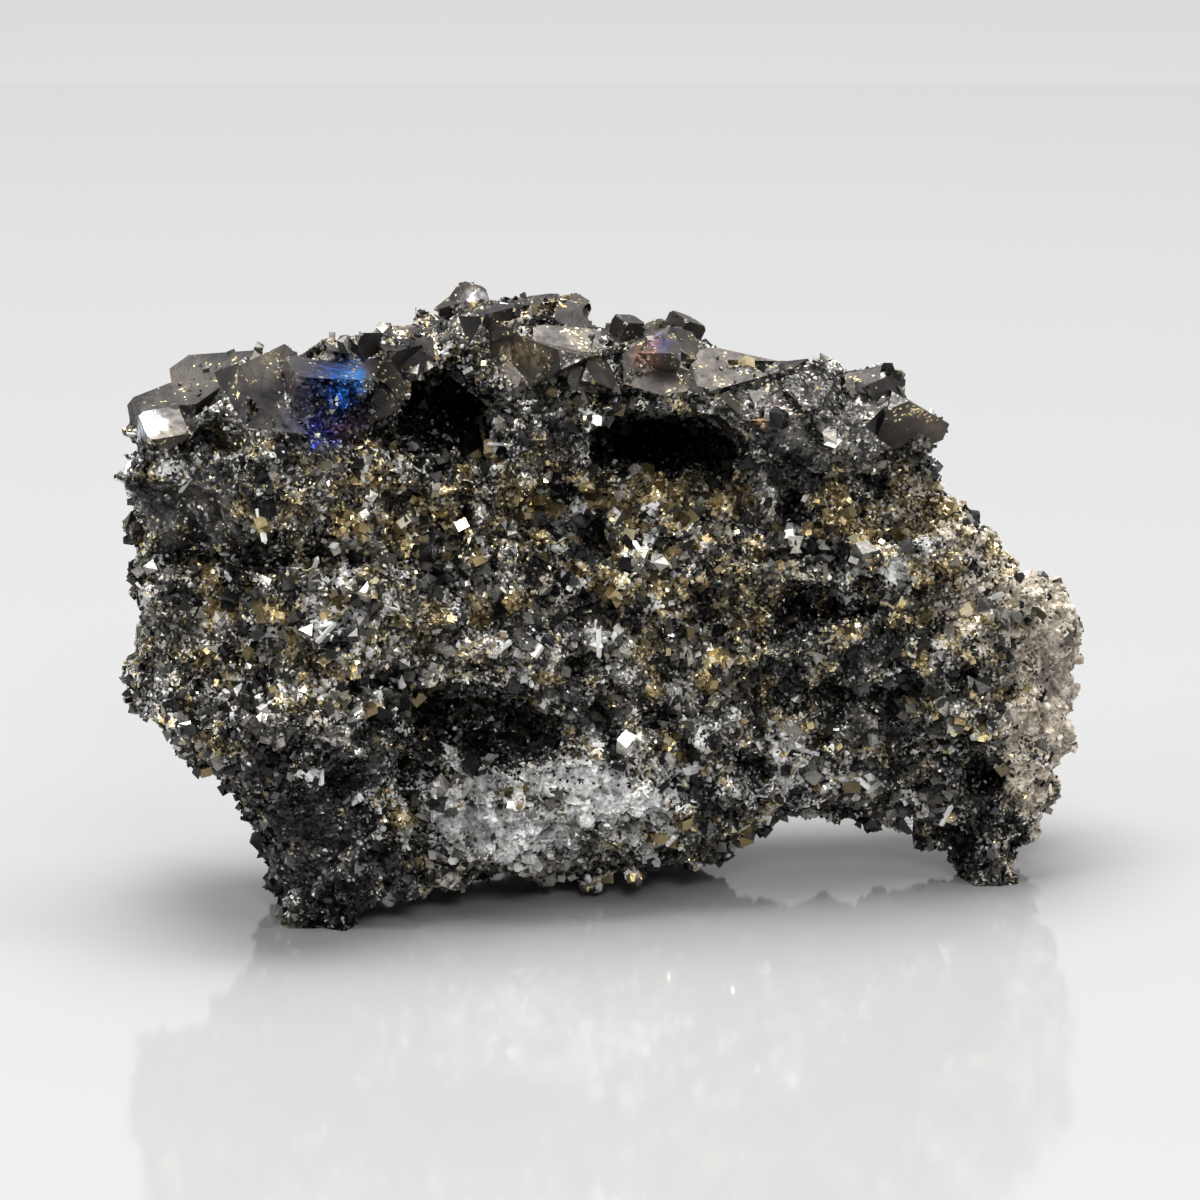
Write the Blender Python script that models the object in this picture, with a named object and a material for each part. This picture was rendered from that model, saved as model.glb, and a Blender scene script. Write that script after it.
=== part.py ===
"""Tetrahedrite cluster: one natural piece of intergrown crystals, resting on three small flat spots.

Everything is worked out in millimetres, and the finished solid is scaled to metres at the end.
X runs to the right along the long side, Y runs from the front face to the back, Z is up.
The front face is drawn on a plane that leans back by FRONT_LEAN: u runs right, v runs up it.
"""

import math
import random

import bmesh
import bpy
from mathutils import Matrix, Vector, noise
from mathutils.bvhtree import BVHTree

METRES_PER_MM = 0.001
FRONT_LEAN = math.radians(14)
LEAN_SIN, LEAN_COS = math.sin(FRONT_LEAN), math.cos(FRONT_LEAN)

# The slab that most of the piece is: its middle, and how far its left end is turned forward
SLAB_MIDDLE = Vector((0.0, 3.5, 0.0))
SLAB_YAW = math.radians(12)

# The outline belongs to the slab's middle depth, and closes in towards the front and the back
OUTLINE_DEPTHS = (-18, -13, -9.5, -7, -5, -3, -1, 1, 3, 5, 7.5, 10.5, 14, 19)
OUTLINE_FULL = 3.6
OUTLINE_TAPER = 0.14
OUTLINE_MIDDLE = (0.0, 14.5)
OUTLINE_WANDER = 0.9

# The rock is drawn in by this much towards the anchor, because crystals stand out all round it
OUTLINE_SIZE = 0.992
OUTLINE_ANCHOR = (10.0, 9.0)
SIGHT_START = 40.0

# Fineness of the worked surface
LUMP_VOXEL = 0.7
OUTLINE_VOXEL = 0.45
CARVE_VOXEL = 0.6
ROCK_VOXEL = 0.42
ROCK_TRIANGLES = 4400
SEED = 11

# The outline of the front face in (u, v), clockwise from the notch in the left side.
# Both legs run on a little below the ground, and the ground cuts them flat.
LEFT_SIDE = [
    (-23.4, 14.4), (-24.5, 14.7), (-25.2, 15.0), (-24.8, 16.0), (-25.3, 16.3), (-25.1, 17.6),
    (-24.8, 18.1), (-25.5, 19.2), (-25.4, 20.0), (-25.6, 21.5), (-25.1, 23.2), (-25.3, 24.8),
]
TOP_SIDE = [
    (-24.8, 25.2), (-24.6, 25.9), (-23.9, 26.8), (-22.7, 27.0), (-22.2, 28.5), (-20.1, 28.9),
    (-17.9, 28.5), (-16.1, 28.8), (-14.7, 28.8), (-13.5, 29.1), (-12.7, 29.8), (-11.2, 30.2),
    (-9.9, 30.5), (-9.3, 30.4), (-8.3, 31.2), (-7.0, 31.8), (-5.7, 31.3), (-4.9, 30.9),
    (-2.8, 31.4), (-1.9, 31.5), (-0.8, 31.1), (-0.7, 30.2), (-0.1, 29.6), (0.7, 30.0),
    (1.6, 29.8), (2.1, 29.3), (2.6, 30.2), (3.5, 30.4), (4.4, 30.7), (5.2, 30.2),
    (5.4, 29.3), (6.2, 28.9), (7.6, 28.8), (8.9, 28.2), (10.9, 28.6),
    (12.9, 28.5), (13.4, 28.0), (14.6, 28.4), (15.5, 28.1), (16.2, 27.1), (17.3, 26.0),
    (17.8, 24.6), (17.1, 23.9),
]
RIGHT_SIDE = [
    (17.5, 23.4), (18.1, 22.3), (19.3, 21.1), (19.8, 20.0), (20.5, 19.9), (21.0, 19.0),
    (21.7, 17.6), (22.6, 16.8), (23.8, 16.7), (24.9, 17.0), (25.6, 16.3), (25.8, 15.5),
    (26.5, 14.6), (26.6, 13.6), (26.0, 12.7), (25.9, 9.5), (25.4, 7.4), (24.7, 6.3),
    (24.4, 4.3), (23.7, 2.9), (23.0, 2.3), (22.7, 0.9), (22.4, -0.9),
]
UNDERSIDE = [
    (19.4, -0.9), (18.6, 0.7), (17.7, 1.9), (17.6, 2.7), (17.0, 3.0), (16.6, 3.5),
    (16.1, 3.0), (14.8, 3.5), (13.4, 3.5), (12.8, 3.8), (10.9, 3.7), (10.2, 4.1),
    (9.6, 3.2), (8.8, 2.7), (7.4, 2.3), (7.3, 1.4), (6.2, 0.8), (4.6, 1.1),
    (2.6, 1.8), (1.9, 0.9), (1.0, 0.6), (-0.2, -0.3), (-1.8, -0.1), (-2.9, -0.1),
    (-3.6, 0.9), (-5.7, 1.2), (-7.1, 0.4), (-8.0, -0.2), (-9.3, -0.7), (-10.4, -0.4),
    (-11.1, -1.1), (-12.3, -1.5), (-13.2, -1.6), (-13.6, -3.6), (-17.2, -3.6),
]
LEFT_LEG = [
    (-18.0, -1.1), (-18.7, 0.3), (-18.6, 1.9), (-18.9, 4.1), (-19.8, 4.7), (-20.2, 5.4),
    (-19.7, 6.2), (-20.2, 6.9), (-21.1, 6.5), (-21.7, 7.5), (-22.9, 8.5), (-23.9, 8.9),
    (-25.6, 9.8), (-26.0, 10.6), (-25.8, 11.6), (-25.6, 13.9), (-24.4, 14.2),
]
OUTLINE = LEFT_SIDE + TOP_SIDE + RIGHT_SIDE + UNDERSIDE + LEFT_LEG

# Masses in the slab's own frame: (name, middle, half sizes, yaw in degrees)
MASSES = [
    ("main slab", (0.0, 0.0, 15.0), (25.0, 8.3, 10.5), 0),
    ("top crust", (-2.0, 0.6, 25.4), (21.5, 7.2, 5.0), 0),
    ("top ridge", (-4.5, 0.8, 29.4), (10.5, 5.2, 5.0), -6),
    ("upper left block", (-18.6, -0.8, 21.4), (8.0, 8.8, 9.6), 8),
    ("middle left block", (-19.2, -1.8, 10.8), (7.6, 8.8, 4.2), -6),
    ("left leg", (-14.6, -2.0, 2.8), (5.0, 6.6, 6.6), 6),
    ("middle foot", (-1.0, -0.3, 5.4), (11.4, 7.6, 5.5), 0),
    ("arch crown", (10.0, 0.2, 8.4), (8.4, 7.6, 5.0), 0),
    ("right block", (18.6, 0.4, 11.0), (8.6, 7.8, 9.2), 24),
    ("right leg", (20.6, -2.8, 2.2), (3.8, 4.0, 5.0), 8),
    ("back bulge", (4.0, 4.2, 13.0), (15.0, 4.8, 8.6), -8),
    ("back foot", (1.2, 6.2, 2.0), (5.4, 3.4, 4.0), 0),
]

# Hollows that open in the front face: (name, u, v, half width, half height, depth)
HOLLOWS = [
    ("upper left vug", -8.3, 25.6, 2.2, 1.9, 6.5),
    ("upper left vug floor", -7.6, 23.9, 1.9, 1.4, 5.0),
    ("upper right vug", 2.6, 23.8, 3.6, 1.35, 6.5),
    ("upper right vug end", 5.4, 23.5, 1.5, 1.7, 6.0),
    ("middle vug", -8.0, 9.4, 2.4, 1.6, 3.2),
    ("middle vug end", -4.4, 8.8, 2.2, 1.3, 2.6),
    ("right leg pit", 20.0, 6.2, 1.3, 1.0, 2.6),
    ("right face pit", 19.2, 11.5, 0.8, 0.8, 1.6),
    ("slot under the mirror face", -19.9, 23.8, 1.9, 0.6, 2.6),
    ("pit below the right vug", -0.4, 19.4, 1.1, 0.9, 2.0),
    ("seam on the right", 11.6, 15.5, 3.6, 0.6, 1.6),
    ("lower seam on the right", 13.8, 10.4, 2.6, 0.6, 1.4),
    ("pit in the upper left", -17.6, 18.0, 2.8, 0.7, 1.8),
    ("back vug", 6.0, 17.0, 3.0, 1.8, -3.6),
    ("back pit", -9.0, 11.0, 2.0, 1.6, -2.6),
]

# Gentle steps of the front face: (name, u, v, half width, half height, forward)
STEPS = [
    ("golden lip under the right vug", 4.0, 21.8, 4.4, 1.1, 1.5),
    ("blue corner", -14.6, 25.9, 2.1, 2.5, 1.3),
    ("shelf above the left leg", -17.4, 8.8, 7.2, 1.6, 1.4),
    ("left leg recess", -14.6, 3.6, 4.4, 2.2, -1.2),
    ("white druse", -4.7, 5.1, 6.6, 1.8, 1.0),
    ("quartz knot", -13.2, 15.3, 2.2, 2.3, 1.0),
    ("dark seam on the left", -17.5, 18.0, 6.8, 0.9, -1.0),
    ("golden shoulder", 15.6, 19.6, 3.6, 2.4, 1.1),
    ("dark seam across the middle", 10.6, 15.6, 5.0, 0.8, -0.8),
    ("lower dark seam", 10.0, 10.8, 5.4, 0.9, -0.8),
    ("crust over the right vug", 2.8, 26.2, 4.2, 1.1, 1.3),
    ("crust knot between the vugs", -3.4, 25.0, 1.9, 2.4, 1.1),
    ("right brow", 10.6, 24.4, 3.8, 2.6, 1.0),
    ("arch brow", 10.0, 5.2, 6.0, 1.2, 0.8),
    ("centre keel", -0.2, 1.7, 3.8, 1.6, 0.9),
]

# Flat spots that the piece rests on: (name, x, y, radius)
FEET = [
    ("front left", -15.2, -5.8, 2.5),
    ("right", 20.7, 3.6, 2.3),
    ("back", -0.8, 10.6, 3.4),
]
UNDERCUT = 1.1

# Large crystals: (name, habit, u, v, how deep its middle sits, size, stretch, turns in degrees)
CRYSTALS = [
    ("left crown", "tetrahedrite", -20.0, 26.6, 1.6, 2.7, (1.2, 1.0, 0.75), (62, 8, 12)),
    ("left crown step", "tetrahedrite", -17.0, 26.4, 1.2, 2.8, (1.3, 1.0, 0.6), (70, 0, 75)),
    ("left shoulder", "block", -22.9, 25.4, 0.6, 1.6, (1.2, 1.0, 0.8), (10, -14, 30)),
    ("mirror crystal", "block", -22.8, 24.2, 0.2, 1.5, (0.9, 0.9, 0.8), (30, -6, 18)),
    ("blue block", "block", -14.5, 25.8, 1.0, 2.6, (1.0, 0.8, 1.0), (8, 6, 16)),
    ("tan tooth", "block", -14.1, 28.4, 0.6, 0.9, (0.9, 0.9, 0.9), (20, 10, 30)),
    ("crest left", "tetrahedrite", -12.4, 28.6, 0.6, 1.7, (1.0, 0.9, 1.0), (15, 24, 5)),
    ("crest left crystal", "tetrahedrite", -11.0, 28.4, 0.4, 1.6, (0.9, 1.0, 1.1), (50, 40, 22)),
    ("crest tip", "tetrahedrite", -11.1, 27.4, 0.0, 1.3, (0.9, 0.8, 1.2), (170, 10, 35)),
    ("crest plate", "block", -10.6, 30.2, 0.8, 0.8, (1.2, 0.9, 0.5), (8, -6, 10)),
    ("crest plate step", "block", -9.4, 30.6, 0.6, 0.6, (1.0, 0.9, 0.7), (22, 16, 48)),
    ("peak", "tetrahedrite", -7.3, 31.2, 0.9, 1.45, (0.95, 1.0, 1.0), (24, 12, 50)),
    ("peak facet", "block", -7.0, 31.6, 0.3, 0.95, (1.0, 0.9, 0.9), (34, 20, 28)),
    ("peak shoulder", "tetrahedrite", -5.8, 30.5, 0.4, 1.2, (1.1, 1.0, 0.9), (50, 30, 10)),
    ("ridge", "block", -3.6, 30.9, 1.4, 1.1, (1.6, 0.8, 0.7), (6, -4, 14)),
    ("ridge crystal", "tetrahedrite", -2.6, 31.0, 0.8, 0.9, (1.0, 1.0, 1.0), (12, 60, 40)),
    ("ridge end", "tetrahedrite", -1.5, 31.0, 1.0, 1.0, (1.0, 1.0, 1.0), (30, 16, 84)),
    ("great face", "tetrahedrite", -3.4, 28.2, 0.5, 3.0, (1.5, 0.8, 0.75), (52, 10, 158)),
    ("great face step", "block", -2.0, 28.9, 0.2, 1.4, (1.6, 0.8, 0.6), (32, 6, 8)),
    ("great face flank", "tetrahedrite", -0.4, 27.6, 0.4, 2.0, (1.1, 1.0, 0.8), (64, -18, 120)),
    ("pillar", "block", 1.1, 29.4, 0.4, 1.05, (0.75, 0.8, 1.4), (10, 8, 32)),
    ("pillar foot", "tetrahedrite", 0.4, 28.5, 0.3, 1.1, (0.9, 0.9, 1.0), (36, 24, 10)),
    ("iridescent crystal", "tetrahedrite", 3.0, 28.4, 0.2, 1.6, (1.0, 1.0, 1.0), (40, 22, 66)),
    ("iridescent step", "block", 3.9, 28.2, 0.2, 0.9, (0.8, 0.9, 1.1), (20, 30, 24)),
    ("tan crest", "block", 4.4, 30.3, 0.6, 0.95, (1.0, 1.0, 0.8), (14, 22, 40)),
    ("tan crest step", "block", 2.8, 30.3, 0.8, 0.7, (1.1, 1.0, 0.8), (10, -16, 20)),
    ("olive slab", "tetrahedrite", 7.0, 26.9, 0.9, 2.5, (1.4, 1.0, 0.6), (60, 24, 14)),
    ("right crest", "tetrahedrite", 11.2, 26.6, 0.8, 2.0, (1.3, 1.0, 0.7), (66, 4, 48)),
    ("golden knob", "tetrahedrite", 14.5, 26.6, 0.7, 1.6, (1.1, 1.0, 0.8), (22, 10, 10)),
    ("smooth brow", "tetrahedrite", 15.6, 25.2, 0.8, 2.6, (1.0, 0.9, 1.0), (80, 20, 140)),
    ("right window", "block", 11.6, 24.3, 0.2, 0.8, (0.8, 0.8, 1.1), (4, 12, 20)),
    ("ring crystal", "block", 14.7, 16.2, 0.2, 0.8, (1.0, 0.8, 0.8), (18, 8, 30)),
    ("pale block in the middle", "block", -1.4, 18.2, 0.3, 0.8, (1.0, 0.9, 1.0), (30, 12, 50)),
    ("left edge crystal", "block", -24.2, 22.4, 0.6, 1.0, (0.8, 0.9, 1.2), (12, 20, 34)),
    ("left edge step", "tetrahedrite", -24.4, 19.6, 0.7, 1.2, (0.9, 0.9, 1.0), (40, 12, 20)),
    ("knob in the left face", "tetrahedrite", -21.2, 18.6, 0.5, 1.3, (1.1, 0.9, 0.9), (70, 30, 64)),
    ("blade by the left vug", "quartz", -9.2, 22.9, 0.2, 1.3, (0.8, 0.8, 1.3), (60, 30, 40)),
    ("blade on the right", "quartz", 5.1, 8.8, 0.2, 1.5, (0.7, 0.7, 1.4), (18, 22, 0)),
    ("blade in the middle", "quartz", 2.7, 19.2, 0.2, 1.3, (0.7, 0.7, 1.3), (70, 50, 20)),
]
CRYSTALS_BEHIND = [
    ("back crown", "tetrahedrite", -12.0, 28.0, 1.6, 2.4, (1.1, 1.0, 0.9), (40, 50, 10)),
    ("back ridge", "tetrahedrite", 2.0, 28.0, 1.6, 2.4, (1.2, 1.0, 0.8), (120, 20, 60)),
    ("back knob", "block", 9.0, 26.4, 1.0, 1.6, (1.0, 1.1, 0.8), (24, 30, 50)),
    ("back shoulder", "tetrahedrite", -20.0, 26.0, 1.4, 2.4, (1.0, 1.0, 0.9), (100, 30, 150)),
    ("back plate", "tetrahedrite", 12.0, 15.0, 1.2, 3.0, (1.2, 1.0, 0.8), (100, 10, 30)),
    ("back block", "block", -16.0, 14.0, 1.2, 2.0, (1.1, 0.9, 0.8), (30, 20, 15)),
]

# Bands of small crystals fused to the surface: (name, habit, count, size, u range, v range, from the back)
BANDS = [
    ("quartz druse", "quartz", 18, 0.75, (-10.6, 1.6), (3.2, 6.8), False),
    ("quartz knot", "quartz", 8, 0.95, (-15.2, -11.4), (13.2, 17.2), False),
    ("quartz on the right", "quartz", 4, 0.7, (14.2, 17.0), (16.8, 18.6), False),
    ("pyrite in front", "cube", 26, 0.6, (-20.0, 19.0), (11.0, 22.0), False),
    ("pyrite by the vugs", "cube", 8, 0.6, (-16.0, 6.0), (20.6, 23.0), False),
    ("tetrahedrite on the left", "tetrahedron", 10, 0.9, (-25.0, -12.0), (6.0, 17.0), False),
    ("tetrahedrite on the leg", "tetrahedron", 8, 0.9, (-18.0, -9.0), (-0.6, 6.0), False),
    ("tetrahedrite on the right", "tetrahedron", 10, 0.8, (6.0, 24.0), (3.0, 14.0), False),
    ("pyrite behind", "cube", 12, 0.7, (-20.0, 20.0), (5.0, 24.0), True),
    ("tetrahedrite behind", "tetrahedron", 10, 1.2, (-21.0, 20.0), (4.0, 26.0), True),
]


def to_space(u, v, y):
    """The point at depth y that shows at (u, v) on the leaning front plane."""
    return Vector((u, y, (v - y * LEAN_SIN) / LEAN_COS))


def to_front(point):
    """(u, v) of a point, as the front plane shows it."""
    return point.x, point.z * LEAN_COS + point.y * LEAN_SIN


INTO_FRONT = Vector((0, LEAN_COS, -LEAN_SIN))


def clear_scene():
    for obj in list(bpy.data.objects):
        bpy.data.objects.remove(obj)


def object_from(name, work):
    """A scene object that holds the bmesh work, which is freed."""
    mesh = bpy.data.meshes.new(name)
    bmesh.ops.recalc_face_normals(work, faces=work.faces)
    work.to_mesh(mesh)
    work.free()
    obj = bpy.data.objects.new(name, mesh)
    bpy.context.scene.collection.objects.link(obj)
    return obj


def apply_modifiers(obj):
    graph = bpy.context.evaluated_depsgraph_get()
    obj.data = bpy.data.meshes.new_from_object(obj.evaluated_get(graph))
    obj.modifiers.clear()


def combine(obj, other, operation, other_crosses_itself=False):
    """Unites, cuts or intersects obj with other, which is used up."""
    boolean = obj.modifiers.new(operation.lower(), "BOOLEAN")
    boolean.operation = operation
    boolean.object = other
    boolean.use_self = other_crosses_itself
    apply_modifiers(obj)
    bpy.data.objects.remove(other)


def remesh(obj, voxel, smoothing):
    skin = obj.modifiers.new("skin", "REMESH")
    skin.mode = "VOXEL"
    skin.voxel_size = voxel
    if smoothing:
        soften = obj.modifiers.new("soften", "SMOOTH")
        soften.factor = 0.5
        soften.iterations = smoothing
    apply_modifiers(obj)


def rounded_box(half, roundness):
    work = bmesh.new()
    bmesh.ops.create_cube(work, size=2.0)
    bmesh.ops.scale(work, vec=Vector(half), verts=work.verts)
    bmesh.ops.bevel(work, geom=list(work.edges), offset=min(half) * roundness, segments=3, affect="EDGES")
    return work


def slab_frame():
    return Matrix.Translation(SLAB_MIDDLE) @ Matrix.Rotation(SLAB_YAW, 4, "Z")


def mass_object(name, middle, half, yaw):
    work = rounded_box(half, 0.55)
    place = slab_frame() @ Matrix.Translation(Vector(middle)) @ Matrix.Rotation(math.radians(yaw), 4, "Z")
    bmesh.ops.transform(work, matrix=place, verts=work.verts)
    return object_from(name, work)


def outline_at(depth):
    """The outline's corners at a depth behind the slab's middle, closed in and wandering a little."""
    away = max(0.0, abs(depth) - OUTLINE_FULL)
    scale = 1.0 - OUTLINE_TAPER * (away / 10.0) ** 1.6
    wander = OUTLINE_WANDER * min(1.0, away / 3.0)
    middle_u, middle_v = OUTLINE_MIDDLE
    anchor_u, anchor_v = OUTLINE_ANCHOR
    corners = []
    for drawn_u, drawn_v in OUTLINE:
        u = anchor_u + (drawn_u - anchor_u) * OUTLINE_SIZE
        v = anchor_v + (drawn_v - anchor_v) * OUTLINE_SIZE
        probe = Vector((u, v, depth)) * 0.16
        shift = noise.noise_vector(probe) * wander
        near_u = middle_u + (u - middle_u) * scale + shift.x
        near_v = middle_v + (v - middle_v) * scale + shift.y
        slab_y = SLAB_MIDDLE.y + u * math.tan(SLAB_YAW) + depth
        corners.append(to_space(near_u, near_v, slab_y))
    return corners


def outline_body():
    """The outline drawn out along the way into the front face, rounded off at both ends."""
    work = bmesh.new()
    rings = [[work.verts.new(corner) for corner in outline_at(depth)] for depth in OUTLINE_DEPTHS]
    for near, far in zip(rings, rings[1:]):
        for n in range(len(near)):
            m = (n + 1) % len(near)
            work.faces.new((near[n], near[m], far[m], far[n]))
    work.faces.new(rings[0])
    work.faces.new(list(reversed(rings[-1])))
    bmesh.ops.triangulate(work, faces=work.faces)
    return object_from("outline", work)


def ruggedness(point):
    """How far the surface stands out at a point, from broad lumps down to fist-like knobs."""
    broad = noise.fractal(point * 0.16, 0.9, 2.1, 3)
    knobs = noise.fractal(point * 0.55 + Vector((7, 3, 1)), 0.8, 2.0, 2)
    return 1.1 * broad + 0.45 * knobs


def ledges(point):
    """Layers that dip gently to the right, each ending in a small step."""
    warp = noise.noise(point * 0.22) * 1.6
    height = (point.z + 0.10 * point.x + warp) / 2.3
    step = height - math.floor(height)
    return 0.9 * (step - 0.5) * (0.6 + 0.4 * noise.noise(point * 0.3 + Vector((2, 9, 4))))


def granularity(point):
    """Grown-together grains, each a rounded or flat-topped cell with a groove around it."""
    coarse = noise.voronoi(point * 0.36 + Vector((9, 1, 5)))[0]
    near = noise.voronoi(point * 0.62)[0]
    relief = 1.9 * min(coarse[1] - coarse[0], 0.55) + 1.1 * min(near[1] - near[0], 0.5)
    return relief - 0.85


def pits(point):
    """Gaps between the grown-together lumps: deep in few places, and nothing elsewhere."""
    gap = noise.noise(point * 0.5 + Vector((4, 6, 8)))
    return -3.0 * max(0.0, gap - 0.24)


def worked_surface(point):
    return ledges(point) + granularity(point) + pits(point)


def push_out(obj, amount):
    """Moves each point along its normal by amount(point)."""
    mesh = obj.data
    moved = [v.co + v.normal * amount(v.co) for v in mesh.vertices]
    for vertex, place in zip(mesh.vertices, moved):
        vertex.co = place
    mesh.update()


def step_forward(u, v):
    total = 0.0
    for _, middle_u, middle_v, half_u, half_v, forward in STEPS:
        reach = ((u - middle_u) / half_u) ** 4 + ((v - middle_v) / half_v) ** 4
        total += forward * math.exp(-reach)
    return total


def shape_front(obj):
    """Steps the faces that look forward out or in, along the way into the front face."""
    mesh = obj.data
    for vertex in mesh.vertices:
        facing = -vertex.normal.dot(INTO_FRONT)
        if facing > 0.15:
            forward = step_forward(*to_front(vertex.co)) * min(1.0, facing * 1.6)
            vertex.co = vertex.co - INTO_FRONT * forward
    mesh.update()


def surface_of(obj):
    work = bmesh.new()
    work.from_mesh(obj.data)
    tree = BVHTree.FromBMesh(work)
    work.free()
    return tree


def front_hit(tree, u, v, from_the_back=False):
    """(place, normal) where the line of sight through (u, v) meets the rock."""
    way = -INTO_FRONT if from_the_back else INTO_FRONT
    start = to_space(u, v, 0.0) - way * SIGHT_START
    place, normal, _, _ = tree.ray_cast(start, way)
    return place, normal


def hollow_cutter(tree, name, u, v, half_u, half_v, depth):
    """A lumpy ball with its middle just under the skin. A negative depth opens in the back."""
    place, _ = front_hit(tree, u, v, depth < 0)
    work = bmesh.new()
    bmesh.ops.create_icosphere(work, subdivisions=3, radius=1.0)
    for vertex in work.verts:
        vertex.co *= 1.0 + 0.35 * noise.noise(vertex.co * 1.9 + Vector((u, v, 0)))
    turn = Matrix.Rotation(-FRONT_LEAN, 4, "X")
    size = Matrix.Diagonal((half_u, abs(depth), half_v, 1.0))
    bmesh.ops.transform(work, matrix=Matrix.Translation(place) @ turn @ size, verts=work.verts)
    return object_from(name, work)


def hull_of(points):
    work = bmesh.new()
    for point in points:
        work.verts.new(point)
    hull = bmesh.ops.convex_hull(work, input=work.verts)
    bmesh.ops.delete(work, geom=hull["geom_interior"], context="VERTS")
    bmesh.ops.dissolve_limit(work, angle_limit=math.radians(2), verts=work.verts, edges=work.edges)
    return work


def tetrahedrite_points():
    """A tetrahedron of edge-to-middle size 1 with each corner cut off."""
    corners = [Vector(c).normalized() * 1.35 for c in ((1, 1, 1), (1, -1, -1), (-1, 1, -1), (-1, -1, 1))]
    return [a.lerp(b, 0.2) for a in corners for b in corners if a is not b]


def block_points():
    """A cube with its corners cut off."""
    cut = 0.72
    points = []
    for sx in (-1, 1):
        for sy in (-1, 1):
            for sz in (-1, 1):
                points += [Vector((sx * cut, sy, sz)), Vector((sx, sy * cut, sz)), Vector((sx, sy, sz * cut))]
    return [p * 0.8 for p in points]


def cube_points():
    return [Vector((sx, sy, sz)) * 0.7 for sx in (-1, 1) for sy in (-1, 1) for sz in (-1, 1)]


def tetrahedron_points():
    return [Vector(c) * 0.7 for c in ((1, 1, 1), (1, -1, -1), (-1, 1, -1), (-1, -1, 1))]


def quartz_points():
    """A six-sided prism along Z that ends in a blunt point."""
    ring = [Vector((math.cos(a), math.sin(a), 0)) for a in (math.tau * n / 6 for n in range(6))]
    return [0.45 * p + Vector((0, 0, z)) for p in ring for z in (-1.0, 0.9)] + [Vector((0, 0, 1.4))]


HABITS = {
    "tetrahedrite": tetrahedrite_points,
    "tetrahedron": tetrahedron_points,
    "block": block_points,
    "cube": cube_points,
    "quartz": quartz_points,
}


def crystal_object(name, habit, place, size, stretch, turn):
    work = hull_of(HABITS[habit]())
    matrix = Matrix.Translation(place) @ turn @ Matrix.Diagonal((*(size * s for s in stretch), 1.0))
    bmesh.ops.transform(work, matrix=matrix, verts=work.verts)
    return object_from(name, work)


def turn_of(degrees):
    x, y, z = (math.radians(d) for d in degrees)
    return Matrix.Rotation(z, 4, "Z") @ Matrix.Rotation(y, 4, "Y") @ Matrix.Rotation(x, 4, "X")


def seat(tree, u, v, deep, behind):
    """The place that deep under the surface seen at (u, v), or the nearest where the rock ends short of it."""
    way = -INTO_FRONT if behind else INTO_FRONT
    place, _ = front_hit(tree, u, v, behind)
    if place is None:
        slab_y = SLAB_MIDDLE.y + u * math.tan(SLAB_YAW)
        place = tree.find_nearest(to_space(u, v, slab_y))[0]
    return place + way * deep


def large_crystals(tree):
    rows = [(row, False) for row in CRYSTALS] + [(row, True) for row in CRYSTALS_BEHIND]
    return [
        crystal_object(name, habit, seat(tree, u, v, deep, behind), size, stretch, turn_of(turns))
        for (name, habit, u, v, deep, size, stretch, turns), behind in rows
    ]


def small_crystals(tree):
    """Small crystals that stand out of the surface in their bands, at seeded places."""
    chance = random.Random(SEED)
    made = []
    for name, habit, count, size, u_range, v_range, behind in BANDS:
        for _ in range(count):
            place, normal = front_hit(tree, chance.uniform(*u_range), chance.uniform(*v_range), behind)
            if place is None:
                continue
            way = (normal + 0.5 * Vector(chance.uniform(-1, 1) for _ in range(3))).normalized()
            spin = Matrix.Rotation(chance.uniform(0, math.tau), 4, "Z")
            turn = way.to_track_quat("Z", "Y").to_matrix().to_4x4() @ spin
            own_size = size * chance.uniform(0.75, 1.3)
            sunk = place - normal * own_size * 0.3
            made.append(crystal_object(name, habit, sunk, own_size, (1, 1, 1), turn))
    return made


def joined(name, objects):
    """One object that holds the meshes of all the objects, which are used up."""
    work = bmesh.new()
    for obj in objects:
        work.from_mesh(obj.data)
        bpy.data.objects.remove(obj)
    return object_from(name, work)


def foot_reach(x, y):
    """1 in the middle of a foot, falling to 0 at its rim."""
    best = 0.0
    for _, foot_x, foot_y, radius in FEET:
        away = math.hypot(x - foot_x, y - foot_y) / radius
        best = max(best, 1.0 - away)
    return best


def undercut_cutter():
    """Rough ground that takes away all that is lower than UNDERCUT, but for the feet."""
    work = bmesh.new()
    steps = 90
    bmesh.ops.create_grid(work, x_segments=steps, y_segments=steps, size=35.0)
    for vertex in work.verts:
        rough = 0.9 * noise.noise(vertex.co * 0.35) + 0.5 * noise.noise(vertex.co * 0.8)
        foot = foot_reach(vertex.co.x, vertex.co.y)
        vertex.co.z = UNDERCUT + rough - 9.0 * max(0.0, foot)
    sides = bmesh.ops.extrude_face_region(work, geom=list(work.faces))
    for item in sides["geom"]:
        if isinstance(item, bmesh.types.BMVert):
            item.co.z = -12.0
    return object_from("ground", work)


def floor_cutter():
    work = bmesh.new()
    bmesh.ops.create_cube(work, size=1.0)
    bmesh.ops.scale(work, vec=Vector((90, 90, 20)), verts=work.verts)
    bmesh.ops.translate(work, vec=Vector((0, 0, -10)), verts=work.verts)
    return object_from("floor", work)


def rock_mass():
    rock = joined("rock", [mass_object(*mass) for mass in MASSES])
    remesh(rock, LUMP_VOXEL, 4)
    push_out(rock, ruggedness)
    remesh(rock, LUMP_VOXEL, 0)
    outline = outline_body()
    remesh(outline, OUTLINE_VOXEL, 0)
    combine(rock, outline, "INTERSECT")
    return rock


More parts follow.
